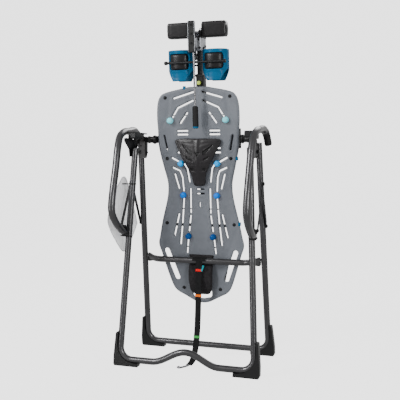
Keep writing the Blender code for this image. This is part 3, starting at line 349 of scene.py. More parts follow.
def plastics():
    plain = {
        "bed_plastic": ((0.135, 0.146, 0.166), 0.42, 0.05),
        "black_plastic": ((0.006, 0.006, 0.0065), 0.40, 0.12),
        "lumbar_plastic": ((0.0135, 0.0120, 0.0135), 0.36, 0.10),
        # The next black serves as the soles' rubber and as the painted shade in the shaft's holes
        "sole_rubber_and_hole_shade": ((0.005, 0.005, 0.005), 0.8, 0.2),
    }
    for name, (colour, rough, spread) in plain.items():
        finish(name, colour, rough, (spread, 25.0), (900.0,), (0.3, 0.00025),
               worn=(rough - 0.05, rough + 0.07, 90.0), Specular_IOR_Level=0.35)
    glossy = {
        "cup_blue": (0.0, 0.096, 0.205), "node_light": (0.24, 0.84, 0.95), "node_cyan": (0.0, 0.42, 0.98),
        "node_blue": (0.0, 0.19, 0.80), "node_deep": (0.0, 0.065, 0.26), "knob_yellow": (0.52, 0.66, 0.10),
        "mark_red": (0.72, 0.004, 0.004), "mark_orange": (0.80, 0.14, 0.0), "mark_green": (0.04, 0.30, 0.06),
        "mark_teal": (0.0, 0.26, 0.30),
    }
    for name, colour in glossy.items():
        finish(name, colour, 0.34, (0.06, 50.0), (400.0,), (0.08, 0.0002), Specular_IOR_Level=0.15)


def soft_materials():
    finish("foam", (0.0075, 0.0072, 0.0075), 0.62, (0.25, 200.0), (1600.0, 4.0), (0.6, 0.0004),
           Specular_IOR_Level=0.25)
    finish("moulded_foam", (0.0070, 0.0062, 0.0070), 0.36, (0.2, 60.0), (900.0, 4.0), (0.35, 0.0003),
           worn=(0.27, 0.42, 70.0), Specular_IOR_Level=0.3)
    woven = {"fabric": ((0.018, 0.0165, 0.0180), 260.0), "webbing": ((0.007, 0.007, 0.0075), 180.0)}
    for name, (colour, scale) in woven.items():
        made = principled(name, colour, 0.85, Specular_IOR_Level=0.2)
        mottle(made, *shades(colour, 0.25), 90.0)
        weave(made, scale, 0.7, 0.0004)
    mesh = principled("mesh_fabric", (0.84, 0.85, 0.88), 0.55, Alpha=0.62, Sheen_Weight=0.4)
    mottle(mesh, (0.76, 0.77, 0.81), (0.92, 0.92, 0.94), 9.0, (1.0, 4.0, 0.4))
    weave(mesh, 300.0, 0.4, 0.0003)


# ---------------------------------------------------------------- meshes

def add_object(name, data):
    obj = bpy.data.objects.new(name, data)
    bpy.context.scene.collection.objects.link(obj)
    return obj


def into_mesh(name, bm):
    mesh = bpy.data.meshes.new(name)
    bm.to_mesh(mesh)
    bm.free()
    return mesh


def piece(name, bm, body, material_name, replaces=(), bevel=0.0):
    """Links a mesh in the row frame as one piece that rides on a CAD body."""
    bmesh.ops.recalc_face_normals(bm, faces=bm.faces)
    mesh = into_mesh(name, bm)
    mesh.materials.append(MATERIALS[material_name])
    mesh.shade_smooth()
    mesh.set_sharp_from_angle(angle=math.radians(40))
    obj = add_object(name, mesh)
    if bevel:
        round_edges(obj, bevel)
    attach(obj, body)
    if replaces:
        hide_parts(*replaces)
    return obj


def round_edges(obj, width):
    modifier = obj.modifiers.new("rounded", "BEVEL")
    modifier.width, modifier.segments = width, BEVEL_SEGMENTS
    modifier.limit_method = "ANGLE"
    modifier.angle_limit = math.radians(35)
    modifier.harden_normals = True


def dress(node, material_name, bevel=0.0):
    """Gives a carried-over CAD node its material and rounded edges."""
    obj = frame["nodes"][node]
    obj.data.materials.clear()
    obj.data.materials.append(MATERIALS[material_name])
    if bevel:
        round_edges(obj, bevel)


def on_side(bm, side):
    if side < 0:
        bmesh.ops.scale(bm, vec=(-1.0, 1.0, 1.0), verts=bm.verts)
        bmesh.ops.reverse_faces(bm, faces=bm.faces)
    return bm


def rounded_path(points, radius, steps=8):
    """The points with each corner turned into an arc."""
    points = [Vector(p) for p in points]
    path = [points[0]]
    for before, corner, after in zip(points, points[1:], points[2:]):
        inward, outward = (before - corner).normalized(), (after - corner).normalized()
        half = inward.angle(outward) / 2
        reach = min(radius / math.tan(half), 0.48 * min((before - corner).length, (after - corner).length))
        real = reach * math.tan(half)
        centre = corner + (inward + outward).normalized() * (real / math.sin(half))
        start, end = corner + inward * reach - centre, corner + outward * reach - centre
        turn = start.angle(end)
        for k in range(steps + 1):
            share = k / steps
            at = start * math.sin((1 - share) * turn) + end * math.sin(share * turn)
            path.append(centre + at / math.sin(turn))
    path.append(points[-1])
    return path


def smooth_path(points, per_span=6):
    """A Catmull-Rom curve through the points."""
    points = [Vector(p) for p in points]
    ends = [2 * points[0] - points[1]] + points + [2 * points[-1] - points[-2]]
    path = []
    for a, b, c, d in zip(ends, ends[1:], ends[2:], ends[3:]):
        for k in range(per_span):
            t = k / per_span
            path.append(0.5 * (2 * b + (c - a) * t + (2 * a - 5 * b + 4 * c - d) * t * t
                               + (3 * b - a - 3 * c + d) * t ** 3))
    path.append(points[-1])
    return path


def closed_outline(points, per_span):
    """A closed Catmull-Rom outline through 2D points."""
    outline = []
    for k in range(len(points)):
        window = [(*points[(k + j) % len(points)], 0.0) for j in (-1, 0, 1, 2)]
        outline += [(p.x, p.y) for p in smooth_path(window, per_span)[per_span:2 * per_span]]
    return outline


def mirrored(half):
    """A whole outline from the points of its right half."""
    return half + [(-x, s) for x, s in reversed(half)]


def smooth_outline(half):
    return mirrored([(p.x, p.y) for p in smooth_path([(*p, 0.0) for p in half], 4)])


def loft(rings, caps=True):
    """A skin over loops of points. Each loop has the same count."""
    bm = bmesh.new()
    loops = [[bm.verts.new(p) for p in loop] for loop in rings]
    for first, second in zip(loops, loops[1:]):
        for k in range(len(first)):
            j = (k + 1) % len(first)
            bm.faces.new((first[k], first[j], second[j], second[k]))
    if caps:
        bm.faces.new(loops[0])
        bm.faces.new(list(reversed(loops[-1])))
    return bm


def squarish(count, power):
    """Pairs (across, up) round a unit loop. power below 1 squares the circle."""
    for k in range(count):
        angle = 2 * math.pi * (k + 0.5) / count
        yield tuple(math.copysign(abs(v) ** power, v) for v in (math.cos(angle), math.sin(angle)))


def section(centre, tangent, side, wide, tall, sides, square=1.0):
    """One loop round a path. square below 1 gives a rounded rectangle."""
    across = (side - tangent * side.dot(tangent)).normalized()
    up = tangent.cross(across)
    return [centre + across * (c * wide) + up * (s * tall) for c, s in squarish(sides, square)]


def sweep(path, sizes, side=(1, 0, 0), sides=TUBE_SIDES, square=1.0):
    """A bar along the path. sizes is one radius, or one (wide, tall) pair for each point."""
    if not isinstance(sizes, list):
        sizes = [(sizes, sizes)] * len(path)
    rings = []
    for k, point in enumerate(path):
        tangent = (path[min(k + 1, len(path) - 1)] - path[max(k - 1, 0)]).normalized()
        rings.append(section(point, tangent, Vector(side), *sizes[k], sides, square))
    return loft(rings)


def turned(profile, start, axis, sides=32):
    """A solid of revolution: (distance along the axis, radius) pairs."""
    axis = Vector(axis).normalized()
    across = axis.orthogonal().normalized()
    up = axis.cross(across)
    rings = []
    for along, radius in profile:
        centre = Vector(start) + axis * along
        rings.append([centre + (across * math.cos(a) + up * math.sin(a)) * radius
                      for a in (2 * math.pi * k / sides for k in range(sides))])
    return loft(rings)


def box(low, high, place=Vector):
    """A box between two corners. place turns its own coordinates into a point."""
    xs, ys, zs = zip(low, high)
    rings = [[place((x, y, z)) for x, y in ((xs[0], ys[0]), (xs[1], ys[0]), (xs[1], ys[1]), (xs[0], ys[1]))]
             for z in zs]
    return loft(rings)


def joined(*shapes):
    """Several shapes as one mesh."""
    whole = bmesh.new()
    for bm in shapes:
        mesh = into_mesh("part", bm)
        whole.from_mesh(mesh)
        bpy.data.meshes.remove(mesh)
    return whole


def hollow(obj, cutter_bm):
    """Cuts a shape out of a piece, ahead of its bevel."""
    bmesh.ops.recalc_face_normals(cutter_bm, faces=cutter_bm.faces)
    cutter = add_object("cutter", into_mesh("cutter", cutter_bm))
    modifier = obj.modifiers.new("hollow", "BOOLEAN")
    modifier.object, modifier.operation, modifier.solver = cutter, "DIFFERENCE", "EXACT"
    if len(obj.modifiers) > 1:
        obj.modifiers.move(len(obj.modifiers) - 1, 0)
    graph = bpy.context.evaluated_depsgraph_get()
    kept = bpy.data.meshes.new_from_object(obj.evaluated_get(graph))
    obj.modifiers.clear()
    obj.data = kept
    bpy.data.objects.remove(cutter)


def inside(points, loop):
    """Which of the 2D points lie in the loop."""
    x, y = points[:, 0], points[:, 1]
    hit = np.zeros(len(points), bool)
    for (ax, ay), (bx, by) in zip(loop, np.roll(loop, -1, axis=0)):
        crosses = (ay > y) != (by > y)
        with np.errstate(divide="ignore", invalid="ignore"):
            hit ^= crosses & (x < (bx - ax) * (y - ay) / (by - ay) + ax)
    return hit


def distance(points, line, closed=False):
    """How far each 2D point is from a line."""
    line = np.array(line, float)
    ends = np.roll(line, -1, axis=0) if closed else line[1:]
    best = np.full(len(points), 9.0)
    for a, b in zip(line, ends):
        along = b - a
        t = np.clip(((points - a) @ along) / max(along @ along, 1e-12), 0, 1)
        best = np.minimum(best, np.linalg.norm(points - a - t[:, None] * along, axis=1))
    return best


def inset_points(loop, amount):
    """The loop's points moved sideways by amount, towards both of its sides."""
    loop = np.array(loop, float)
    heading = np.roll(loop, -1, axis=0) - np.roll(loop, 1, axis=0)
    normal = np.stack([heading[:, 1], -heading[:, 0]], axis=1)
    normal /= np.maximum(np.linalg.norm(normal, axis=1), 1e-9)[:, None]
    return np.concatenate([loop + normal * amount, loop - normal * amount])


def flat_mesh(outer, holes, spacing, rings):
    """Triangles over an outline with holes, with extra points beside each edge."""
    outer, holes = np.array(outer, float), [np.array(hole, float) for hole in holes]
    low, high = outer.min(axis=0), outer.max(axis=0)
    grid = np.stack(np.meshgrid(*(np.arange(a, b, spacing) for a, b in zip(low, high))), axis=-1).reshape(-1, 2)
    grid[:, 0] += np.where(np.round((grid[:, 1] - low[1]) / spacing) % 2, spacing / 2, 0)
    free = [grid] + [inset_points(loop, r) for loop in [outer] + holes for r in rings]
    free = np.concatenate(free)
    edge_far = distance(free, outer, True)
    keep = inside(free, outer)
    for hole in holes:
        keep &= ~inside(free, hole)
        edge_far = np.minimum(edge_far, distance(free, hole, True))
    free = free[keep & (edge_far > 0.6 * min(rings))]
    points, edges = [], []
    for loop in [outer] + holes:
        first = len(points)
        points += [Vector(p) for p in loop]
        edges += [(first + k, first + (k + 1) % len(loop)) for k in range(len(loop))]
    points += [Vector(p) for p in free]
    flat, _, faces, *_ = delaunay_2d_cdt(points, edges, [], 0, 1e-5)
    flat = np.array([tuple(p) for p in flat])
    faces = [tuple(face) for face in faces]
    centres = np.array([flat[list(face)].mean(axis=0) for face in faces])
    keep = inside(centres, outer)
    for hole in holes:
        keep &= ~inside(centres, hole)
    far = distance(flat, outer, True)
    for hole in holes:
        far = np.minimum(far, distance(flat, hole, True))
    return flat, [face for face, kept in zip(faces, keep) if kept], far


def plate(outer, holes, spacing, rings, front, back):
    """A closed skin. front and back map (2D points, distance to the edge) to points in space."""
    flat, faces, far = flat_mesh(outer, holes, spacing, rings)
    bm = bmesh.new()
    layers = [[bm.verts.new(p) for p in side(flat, far)] for side in (front, back)]
    seen = set()
    for face in faces:
        bm.faces.new([layers[0][k] for k in face])
        bm.faces.new([layers[1][k] for k in reversed(face)])
        seen |= set(zip(face, face[1:] + face[:1]))
    for a, b in seen:
        if (b, a) not in seen:
            bm.faces.new((layers[0][b], layers[0][a], layers[1][a], layers[1][b]))
    bmesh.ops.delete(bm, geom=[v for v in bm.verts if not v.link_faces], context="VERTS")
    return bm


def slot_outline(points, width):
    """A closed outline with round ends along an open line."""
    points = [Vector(p) for p in points]
    left, right = [], []
    for k, point in enumerate(points):
        heading = (points[min(k + 1, len(points) - 1)] - points[max(k - 1, 0)]).normalized()
        normal = Vector((-heading.y, heading.x)) * (width / 2)
        left.append(point + normal)
        right.append(point - normal)

    def cap(centre, start):
        arm = start - centre
        first = math.atan2(arm.y, arm.x)
        return [centre + Vector((math.cos(first + a), math.sin(first + a))) * (width / 2)
                for a in (math.pi * k / CORNER_STEPS for k in range(1, CORNER_STEPS))]

    outline = right + cap(points[-1], right[-1]) + list(reversed(left)) + cap(points[0], left[0])
    return [(p.x, p.y) for p in outline]


def rounding(far, radius):
    """How far a surface drops towards its edge, as a quarter circle does."""
    near = np.clip(1 - far / radius, 0, 1)
    return radius * (1 - np.sqrt(1 - near ** 2))


def bolt(name, body, place, axis, radius, height, washer=True):
    """A domed cap screw with a round socket, on its washer. axis points out of the surface."""
    base = 0.0015 if washer else 0.0
    profile = [(-0.003, 1.45 * radius), (base, 1.45 * radius), (base, radius)] if washer else [(-0.003, radius)]
    profile += [(base + height * math.sin(a), radius * (0.45 + 0.55 * math.cos(a)))
                for a in (math.radians(d) for d in (0, 25, 50, 75, 90))]
    profile += [(base + 0.45 * height, 0.43 * radius)]
    piece(name, turned(profile, place, axis, 20), body, "dark_steel")


def hex_bolt(name, body, place, axis, radius, height, material_name="dark_steel"):
    """A hexagon head with a chamfer, on its washer."""
    head = turned([(0.0015, radius), (height, radius), (height + 0.001, 0.86 * radius)], place, axis, 6)
    washer = turned([(-0.002, 1.35 * radius), (0.0012, 1.35 * radius), (0.0016, 1.3 * radius)], place, axis, 28)
    piece(name, joined(head, washer), body, material_name)


# ---------------------------------------------------------------- stage

def camera():
    data = bpy.data.cameras.new("camera")
    data.lens, data.sensor_width = LENS, 36.0
    obj = add_object("camera", data)
    a, e = CAMERA_TURN, CAMERA_DROP
    back = Vector((math.sin(a) * math.cos(e), -math.cos(a) * math.cos(e), math.sin(e)))
    obj.location = Vector(CAMERA_PLACE) + SHIFT
    obj.rotation_mode = "QUATERNION"
    turn = (-back).to_track_quat("-Z", "Y")
    obj.rotation_quaternion = turn @ Quaternion((0.0, 0.0, 1.0), CAMERA_ROLL)
    bpy.context.scene.camera = obj


def area_light(name, place, wide, power, tall=None):
    """A square light on the object's middle, or an upright strip that shines level."""
    data = bpy.data.lights.new(name, "AREA")
    data.shape, data.size, data.energy, aim = "SQUARE", wide, power, LIGHT_AIM
    if tall:
        data.shape, data.size_y, aim = "RECTANGLE", tall, place[2]
    obj = add_object(name, data)
    obj.location = place
    obj.rotation_mode = "QUATERNION"
    obj.rotation_quaternion = (Vector((0.0, 0.0, aim)) - Vector(place)).to_track_quat("-Z", "Y")


def studio():
    paper = principled("studio_paper", (0.25, 0.25, 0.25), 0.95)
    shader = shader_of(paper)
    shader.inputs["Emission Color"].default_value = (1.0, 1.0, 1.0, 1.0)
    shader.inputs["Emission Strength"].default_value = PAPER_GLOW
    bend, back = 2.5, 4.5
    profile = [(-9.0, -0.0005)] + [(back + bend * math.sin(a), bend * (1 - math.cos(a)) - 0.0005)
                                   for a in arc(0, 90, 9)] + [(back + bend, 12.0)]
    bm = bmesh.new()
    rows = [[bm.verts.new((x, y, z)) for x in (-12.0, 12.0)] for y, z in profile]
    for first, second in zip(rows, rows[1:]):
        bm.faces.new((first[0], first[1], second[1], second[0]))
    mesh = into_mesh("studio_floor", bm)
    mesh.materials.append(paper)
    mesh.shade_smooth()
    floor = add_object("studio_floor", mesh)
    floor.visible_diffuse = floor.visible_glossy = False
    world = bpy.data.worlds.new("studio_world")
    world.use_nodes = True
    world.node_tree.nodes["Background"].inputs["Color"].default_value = (1.0, 1.0, 1.0, 1.0)
    world.node_tree.nodes["Background"].inputs["Strength"].default_value = WORLD_STRENGTH
    bpy.context.scene.world = world
    for name, place, power in STRIP_LIGHTS:
        area_light(name, place, STRIP_WIDE, power, STRIP_TALL)
    for name, place, wide, power in SQUARE_LIGHTS:
        area_light(name, place, wide, power)


# ---------------------------------------------------------------- tether

def tether():
    """The strap from its loop on the crossbar down to the floor, and its hook."""
    path = smooth_path(shifted(STRAP_ROUTE), 8)
    sizes = [(STRAP_HALF, STRAP_THICK / 2)] * len(path)
    strap = piece("tether_webbing", sweep(path, sizes, sides=20, square=0.45), "front_frame", "webbing",
                  ("tether_strap",))
    bar = in_frame(0.0, CROSSBAR_FRONT, CROSSBAR_HEIGHT)
    loop_path = [bar + Vector((0.0, math.cos(a), math.sin(a))) * STRAP_RING for a in arc(-110, 180, 10)]
    sizes = [(LOOP_HALF, STRAP_THICK / 2)] * len(loop_path)
    loop = piece("tether_loop", sweep(loop_path, sizes, sides=20, square=0.35), "front_frame", "webbing")
    hook_path = smooth_path(shifted(HOOK_ROUTE), 6)
    hook = piece("tether_snap_hook", sweep(hook_path, HOOK_RADIUS, (0, 0, 1), 16), "front_frame", "chrome",
                 ("tether_hook",))
    tab_line = ((0.026, -0.0205, -0.020), (0.022, -0.0215, -0.034), (0.016, -0.0225, -0.050))
    tab_path = [bar + Vector(p) for p in tab_line]
    tab = sweep(tab_path, [(0.0045, 0.0008)] * 3, sides=12, square=0.45)
    tabs = [loop, hook, piece("tether_tab", tab, "front_frame", "mark_teal")]
    for name, share in STRAP_MARKS:
        k = round(share * (len(path) - 1))
        tangent = (path[k + 1] - path[k]).normalized()
        centre = [path[k] - tangent * MARK_HALF, path[k] + tangent * MARK_HALF]
        sizes = [(STRAP_HALF + MARK_PROUD, STRAP_THICK / 2 + MARK_PROUD)] * 2
        tabs.append(piece("tether_" + name, sweep(centre, sizes, sides=16, square=0.45), "front_frame", name))


# ---------------------------------------------------------------- frames

def rear_leg(z, side=1):
    return in_frame(side * (REAR_X + REAR_LEAN_X * z), REAR_Y + REAR_LEAN_Y * z, z)


def front_leg(z, side=1):
    return in_frame(side * (FRONT_X + FRONT_LEAN_X * z), FRONT_Y + FRONT_LEAN_Y * z, z)


def u_frame_path(leg, top, base):
    right = rounded_path([leg(top, 1), leg(BASE_HEIGHT, 1), base[0]], BASE_BEND, 12)[:-1]
    left = rounded_path([base[-1], leg(BASE_HEIGHT, -1), leg(top, -1)], BASE_BEND, 12)[1:]
    return right + base + left


def hump():
    """The rear base: level beside each foot, humped between them."""
    steps = 28
    y = REAR_Y + REAR_LEAN_Y * BASE_HEIGHT
    points = [(BASE_STRAIGHT, y, BASE_HEIGHT)]
    for k in range(steps + 1):
        x = HUMP_HALF * (1 - 2 * k / steps)
        rise = HUMP_HEIGHT * (1 + math.cos(math.pi * x / HUMP_HALF)) / 2
        points.append((x, y + REAR_LEAN_Y * rise, BASE_HEIGHT + rise))
    return shifted(points + [(-BASE_STRAIGHT, y, BASE_HEIGHT)])


def frame_tubes():
    y = FRONT_Y + FRONT_LEAN_Y * BASE_HEIGHT
    level = shifted([(BASE_STRAIGHT, y, BASE_HEIGHT), (-BASE_STRAIGHT, y, BASE_HEIGHT)])
    rear = sweep(u_frame_path(rear_leg, REAR_TOP, hump()), TUBE_RADIUS, (0, 1, 0))
    front = sweep(u_frame_path(front_leg, FRONT_TOP, level), TUBE_RADIUS, (0, 1, 0))
    piece("rear_tube", rear, "rear_frame", "tube_steel", ("rear_frame_tube",))
    piece("front_tube", front, "front_frame", "tube_steel", ("front_frame_tube",))


def feet():
    """Moulded shoes with a rubber sole, and a screw on each side of the upright fin."""
    for body, leg in (("rear_frame", rear_leg), ("front_frame", front_leg)):
        end = body.split("_")[0]
        for label, side in SIDES:
            node = f"{end}_foot_{label}"
            dress(node, "black_plastic", 0.0022)
            low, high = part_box(node)
            for place, direction in (("back", -1), ("front", 1)):
                spot = Vector((side * 0.3615, leg(0.070).y + direction * 0.0190, 0.070))
                bolt(f"foot_screw_{place}_{end}_{label}", body, spot, (0, direction, 0), 0.0030, 0.0016,
                     washer=False)
            y = leg(0.0).y
            sole = box((low.x + 0.004, y - 0.0165, 0.0002), (high.x - 0.004, y + 0.0165, 0.003))
            piece(f"sole_{end}_{label}", sole, body, "sole_rubber_and_hole_shade", bevel=0.0008)


def crossbar():
    end_x = front_leg(CROSSBAR_HEIGHT).x - TUBE_RADIUS - 0.0075
    corners = ((-end_x, CROSSBAR_BACK), (-CROSSBAR_STRAIGHT, CROSSBAR_FRONT),
               (CROSSBAR_STRAIGHT, CROSSBAR_FRONT), (end_x, CROSSBAR_BACK))
    path = rounded_path([in_frame(x, y, CROSSBAR_HEIGHT) for x, y in corners], 0.05, 10)
    ends = [path[0].lerp(path[1], share) for share in (0.2, 0.5)]
    far_ends = [path[-1].lerp(path[-2], share) for share in (0.5, 0.2)]
    path = [path[0]] + ends + path[1:-1] + far_ends + [path[-1]]
    flare = [(0.024, 0.011), (0.022, 0.0125)]
    sizes = flare + [(TUBE_RADIUS, TUBE_RADIUS)] * (len(path) - 4) + flare[::-1]
    piece("crossbar_tube", sweep(path, sizes, (0, 0, 1)), "front_frame", "tube_steel", ("front_crossbar",))
    for label, side in SIDES:
        end = in_frame(side * end_x, CROSSBAR_BACK, CROSSBAR_HEIGHT)
        for part, dz in (("upper", 0.012), ("lower", -0.012)):
            spot = end + Vector((-side * 0.012, -0.014, dz))
            bolt(f"crossbar_bolt_{part}_{label}", "front_frame", spot, (-side * 0.45, -1, 0), 0.0048, 0.0035)
        bead = turned([(0, 0.0165), (0.003, 0.0185), (0.006, 0.0165)], end, (side, 0.25, 0), 28)
        piece(f"crossbar_weld_{label}", bead, "front_frame", "tube_steel")


def hinges():
    """Plates, covers, latches and bolts where the two frames and the bed's axle meet."""
    y, z = HINGE
    for label, side in SIDES:
        for node, material_name, bevel in HINGE_FINISHES:
            dress(f"{node}_{label}", material_name, bevel)
        outer = in_frame(side * 0.3192, y, z)
        hex_bolt("hinge_nut_" + label, "front_frame", outer, (side, 0, 0), 0.0075, 0.005)
        for name, dy, dz in (("low", 0.022, 1.044), ("high", -0.046, 1.092)):
            spot = in_frame(side * 0.2897, dy, dz)
            bolt(f"plate_rivet_{name}_{label}", "front_frame", spot, (-side, 0, 0), 0.0050, 0.0028,
                 washer=False)
        latch = in_frame(side * 0.2858, 0.030, 1.060)
        bolt(f"latch_pivot_{label}", "axle_lock_" + label, latch, (-side, 0, 0), 0.0055, 0.0035)
        for name, dy in (("near", -0.140), ("far", -0.010)):
            spot = in_frame(side * 0.3114, dy, 1.141)
            bolt(f"cover_screw_{name}_{label}", "front_frame", spot, (side, 0, 0), 0.0036, 0.0022, washer=False)
        cap_top = in_frame(side * 0.293, -0.110, 1.158)
        bolt(f"cover_top_screw_{label}", "front_frame", cap_top, (0, 0, 1), 0.0040, 0.0020, washer=False)


def handlebars():
    for label, side in SIDES:
        path = smooth_path(shifted(HANDLEBAR_ROUTE), 6)
        sizes = [(HANDLEBAR_RADIUS, HANDLEBAR_RADIUS)] * len(path)
        for k in range(5):
            share = math.sin(math.pi / 2 * k / 5)
            sizes[k] = (HANDLEBAR_RADIUS, 0.009 + (HANDLEBAR_RADIUS - 0.009) * share)
        tube = on_side(sweep(path, sizes), side)
        piece("handlebar_tube_" + label, tube, "rear_frame", "tube_steel", ("handlebar_" + label,))
        path = smooth_path(shifted(HORN_ROUTE), 16)
        sizes = []
        for k in range(len(path)):
            share = k / (len(path) - 1)
            tip = math.sqrt(max(0.0, 1 - max(0.0, (share - 0.9) / 0.1) ** 2))
            radius = (0.0185 + 0.0006 * math.sin(54 * share)) * (0.35 + 0.65 * tip)
            sizes.append((radius, radius))
        grip = on_side(sweep(path, sizes), side)
        piece("horn_cover_" + label, grip, "rear_frame", "foam", ("horn_grip_" + label,))
        collar = on_side(turned([(0, 0.0184), (0.001, 0.0192), (0.006, 0.0192), (0.007, 0.0184)],
                                in_frame(0.3402, 0.0165, 1.1620), (0.05, 0.85, -0.53)), side)
        piece("horn_collar_" + label, collar, "rear_frame", "black_plastic")
        clamp = on_side(box(in_frame(0.306, -0.177, 0.644), in_frame(0.341, -0.161, 0.690)), side)
        piece("handlebar_clamp_" + label, clamp, "rear_frame", "dark_steel", bevel=0.003)
        for name, z in (("upper", 0.679), ("lower", 0.655)):
            for face, x, direction in (("inner", 0.3065, -1), ("outer", 0.3405, 1)):
                spot = in_frame(side * x, -0.169, z)
                bolt(f"clamp_bolt_{name}_{face}_{label}", "rear_frame", spot, (side * direction, 0, 0),
                     0.0045, 0.004)


def spreaders():
    """Flat folding links with a channel edge, pivot bolts and a middle knuckle."""
    for label, side in SIDES:
        for end, (y, z) in SPREADER_ENDS.items():
            node = f"spreader_{end}_{label}"
            body = end + "_spreaders"
            dress(node, "dark_steel", 0.0010)
            low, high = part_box(node)
            x_out, x_in = (high.x, low.x) if side > 0 else (low.x, high.x)
            start, middle = in_frame(0.0, y, z), in_frame(0.0, *SPREADER_MIDDLE)
            along = (middle - start).normalized()
            edge = Vector((0.0, -along.z, along.y)) * 0.0098
            for k, sign in enumerate((-1, 1)):
                line = [Vector((x_out, 0, 0)) + start + edge * sign + along * 0.016,
                        Vector((x_out, 0, 0)) + middle + edge * sign - along * 0.016]
                rib = sweep(line, 0.0013, sides=10)
                piece(f"spreader_rib_{k + 1}_{end}_{label}", rib, body, "dark_steel")
            hex_bolt(f"spreader_bolt_{end}_{label}", body, Vector((x_out, 0, 0)) + start, (side, 0, 0),
                     0.0070, 0.0045)
            spacer = turned([(0, 0.0075), (abs(x_in) - 0.321, 0.0075)], Vector((side * 0.3212, 0, 0)) + start,
                            (side, 0, 0), 24)
            piece(f"spreader_spacer_{end}_{label}", spacer, body, "dark_steel")
        knuckle = in_frame(side * 0.3465, *SPREADER_MIDDLE)
        hex_bolt("spreader_knuckle_" + label, "rear_spreaders", knuckle, (side, 0, 0), 0.0085, 0.0050,
                 "black_plastic")


def caddy():
    """The soft pouch on the left side: one panel that bellies out, with a bound edge."""
    loop = closed_outline(CADDY_OUTLINE, 5)

    def panel(thick):
        def place(flat, far):
            belly = 0.009 * np.clip(far / 0.09, 0, 1) ** 0.7
            folds = 0.0022 * np.sin(flat[:, 0] * 95 + 3 * np.sin(flat[:, 1] * 9)) * np.clip(far / 0.04, 0, 1)
            return [Vector((CADDY_X - thick - b - f, y + SHIFT.y, z))
                    for (y, z), b, f in zip(flat, belly, folds)]
        return place

    cloth = plate(loop, [], 0.010, (0.004,), panel(0.0008), panel(0.0))
    pouch = piece("caddy_panel", cloth, "rear_frame", "mesh_fabric", ("storage_caddy",))
    ring = [Vector((CADDY_X - 0.0005, y + SHIFT.y, z)) for y, z in loop]
    rings = []
    for k, point in enumerate(ring):
        tangent = (ring[(k + 1) % len(ring)] - ring[k - 1]).normalized()
        rings.append(section(point, tangent, Vector((1, 0, 0)), 0.0022, 0.0032, 10))
    binding = piece("caddy_binding", loft(rings + [rings[0]], caps=False), "rear_frame", "mesh_fabric")
    for name, z in (("upper", 0.900), ("lower", 0.640)):
        at = rear_leg(z, -1)
        start = Vector((CADDY_X + 0.0005, at.y - 0.004, z))
        wrap = [at + Vector((math.cos(a), math.sin(a), 0)) * 0.0172 for a in arc(200, 510, 18)]
        path = [start, start.lerp(wrap[0], 0.5)] + wrap
        band = sweep(path, [(0.0028, 0.0007)] * len(path), (0, 0, 1), 12, 0.5)
        piece("caddy_strap_" + name, band, "rear_frame", "webbing")


# ---------------------------------------------------------------- bed

def bed_face(flat):
    across = np.clip(1 - (flat[:, 0] / 0.20) ** 2, 0, None)
    waist = 0.006 * np.exp(-((flat[:, 1] + 0.27) / 0.13) ** 2)
    return BED_DISH * across + waist


def face_depth(x, s):
    return float(bed_face(np.array([[x, s]]))[0])


def on_bed(flat, depth):
    return [bed_point(x, n, s) for (x, s), n in zip(flat, depth)]


def both_halves(points):
    return [points, [(-x, s) for x, s in points]]


def bed_shell():
    """The moulded bed: rounded edges, lips round its slots, and pressed creases."""
    outer = smooth_outline(BED_OUTLINE)
    slots = [slot_outline(points, width) for width, points in BED_SLOTS]
    holes = [hole for outline in slots for hole in both_halves(outline)] + [BED_WINDOW]
    holes += [slot_outline(points, width) for width, points in CENTRE_SLOTS]

    def front(flat, far):
        depth = bed_face(flat) + rounding(far, EDGE_ROUND)
        border = distance(flat, outer, True)
        depth -= 0.0025 * np.clip(1 - np.abs(border - 0.011) / 0.007, 0, 1)
        rim = np.full(len(flat), 9.0)
        for hole in holes:
            rim = np.minimum(rim, distance(flat, hole, True))
        depth -= 0.0018 * np.clip(1 - np.abs(rim - 0.0045) / 0.0045, 0, 1)
        for wide, deep, line in BED_CREASES:
            for half_line in both_halves(line):
                depth += deep * np.exp(-(distance(flat, half_line) / wide) ** 2 * 2)
        return on_bed(flat, depth)

    def back(flat, far):
        depth = bed_face(flat) + BED_PLATE - rounding(far, 0.002)
        return on_bed(flat, depth)

    shell = plate(outer, holes, 0.009, (0.0012, 0.0028, 0.005), front, back)
    obj = piece("bed_moulding", shell, "bed", "bed_plastic", ("bed_shell",))
    obj.data.set_sharp_from_angle(angle=math.radians(60))


